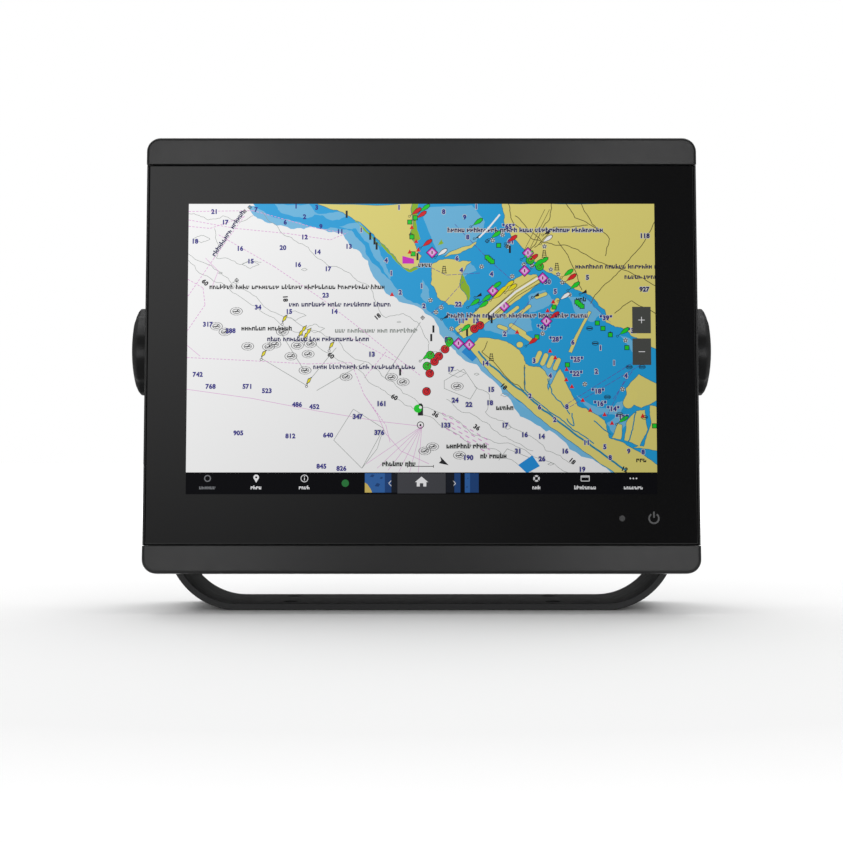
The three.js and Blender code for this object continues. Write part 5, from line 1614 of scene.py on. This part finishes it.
def area_light(name, location, target, size, radiance, size_y=None):
    data = bpy.data.lights.new(name, "AREA")
    data.shape = "RECTANGLE"
    data.size, data.size_y = size, size_y or size
    data.energy = radiance * math.pi * data.size * data.size_y
    lamp = bpy.data.objects.new(name, data)
    bpy.context.scene.collection.objects.link(lamp)
    lamp.location = location
    lamp.rotation_mode = "QUATERNION"
    lamp.rotation_quaternion = (Vector(target) - Vector(location)).to_track_quat("-Z", "Y")
    return data


def graded(data, across, up):
    """Fades a softbox across world x and up world z: each is (from, to, level at from, level at to)."""
    data.use_nodes = True
    tree = data.node_tree
    geometry = tree.nodes.new("ShaderNodeNewGeometry")
    split = tree.nodes.new("ShaderNodeSeparateXYZ")
    product = tree.nodes.new("ShaderNodeMath")
    product.operation = "MULTIPLY"
    tree.links.new(geometry.outputs["Position"], split.inputs["Vector"])
    for index, (axis, levels) in enumerate((("X", across), ("Z", up))):
        fade = tree.nodes.new("ShaderNodeMapRange")
        fade.interpolation_type = "SMOOTHSTEP"
        tree.links.new(split.outputs[axis], fade.inputs["Value"])
        for key, value in zip(("From Min", "From Max", "To Min", "To Max"), levels):
            fade.inputs[key].default_value = value
        tree.links.new(fade.outputs["Result"], product.inputs[index])
    tree.links.new(product.outputs[0], tree.nodes["Emission"].inputs["Strength"])


def lights_only(lamp_data, pieces):
    """Keeps a lamp's light on a few pieces."""
    lamp = next(item for item in bpy.data.objects if item.data == lamp_data)
    receivers = bpy.data.collections.new(lamp_data.name + "_receivers")
    for piece in pieces:
        receivers.objects.link(bpy.data.objects[piece])
    lamp.light_linking.receiver_collection = receivers
    lamp.visible_camera = False


def make_stage():
    floor_mesh = bpy.data.meshes.new("floor")
    far = 3.2
    floor_mesh.from_pydata([(-far, -far, 0), (far, -far, 0), (far, far, 0), (-far, far, 0)], [],
                           [(0, 1, 2, 3)])
    floor = bpy.data.objects.new("floor", floor_mesh)
    bpy.context.scene.collection.objects.link(floor)
    paint = Paint("floor_with_painted_glow")
    paint.colour(paint.mixed(paint.noise(3, 2), (0.86, 0.86, 0.86), (0.88, 0.88, 0.88)))
    paint.set(Roughness=0.9, Specular_IOR_Level=0.1, Emission_Color=(1, 1, 1, 1))
    # Painted light: the floor glows more the farther it lies from the display, none within 0.4 m and full
    # at 1.5 m, so the far floor turns white while the floor near the display keeps its shadow.
    reach = paint.tree.nodes.new("ShaderNodeVectorMath")
    reach.operation = "LENGTH"
    paint.link(paint.coords, reach.inputs[0])
    paint.link(paint.ranged(reach.outputs["Value"], 0, 1, 0.4, 1.5),
               paint.shader.inputs["Emission Strength"])
    floor_mesh.materials.append(paint.material)

    area_light("overhead", (0, 0.75, 1.45), (0, 0.05, 0.05), 2.0, 2.0)
    area_light("left_strip", (-0.95, -1.6, 0.75), (0, 0, 0.12), 0.45, 1.3, 1.2)
    area_light("right_strip", (0.95, -1.6, 0.75), (0, 0, 0.12), 0.45, 1.3, 1.2)
    softbox = area_light("front_softbox", (0, -2.4, 0.66), (0, 0, 0.14), 1.7, 1.0, 1.3)
    graded(softbox, (-0.5, 0.42, 1.08, 0.01), (0.2, 1.0, 0.25, 1.0))
    for name, x, radiance in (("trim_glow_left", -0.29, 4.3), ("trim_glow_right", 0.29, 6.2)):
        glow = area_light(name, (x, -1.65, 0.47), (0.4 * x, 0, 0.12), 0.14, radiance, 0.8)
        lights_only(glow, ("top_trim_shell", "bottom_trim_shell"))
    from_above = area_light("knob_glow", (0, -0.3, 1.2), (0, 0, 0.12), 0.5, 72)
    lights_only(from_above, ("left_knob_grip", "left_knob_face", "right_knob_grip", "right_knob_face"))
    for name, x in (("bail_glow_left", -0.28), ("bail_glow_right", 0.28)):
        lights_only(area_light(name, (x, -0.3, 0.02), (0.35 * x, 0, 0.005), 0.04, 270), ("bail_strip",))

    world = bpy.data.worlds.new("studio")
    bpy.context.scene.world = world
    world.use_nodes = True
    nodes, links = world.node_tree.nodes, world.node_tree.links
    background = nodes["Background"]
    background.inputs["Color"].default_value = (1, 1, 1, 1)
    path = nodes.new("ShaderNodeLightPath")
    level = None
    for output, bright in (("Is Glossy Ray", 0.1), ("Is Camera Ray", 1.0)):
        choice = nodes.new("ShaderNodeMix")
        links.new(path.outputs[output], choice.inputs["Factor"])
        choice.inputs["A"].default_value = 0.58
        choice.inputs["B"].default_value = bright
        if level:
            links.new(level, choice.inputs["A"])
        level = choice.outputs["Result"]
    links.new(level, background.inputs["Strength"])
    bpy.context.scene.view_settings.view_transform = "Standard"


def make_camera():
    """Level camera in front of the middle of the screen, a little below the tilt axis."""
    distance, height, lens = 0.938, 0.0883, 86.5
    screen_middle = DISPLAY @ Vector((0, GLASS_Y, SCREEN_Z0 + SCREEN_H / 2))
    data = bpy.data.cameras.new("camera")
    data.lens, data.sensor_width = lens, 36
    camera = bpy.data.objects.new("camera", data)
    bpy.context.scene.collection.objects.link(camera)
    camera.location = (0, screen_middle.y - distance, height)
    camera.rotation_euler = (math.pi / 2, 0, 0)
    bpy.context.scene.camera = camera


make_stage()
make_camera()
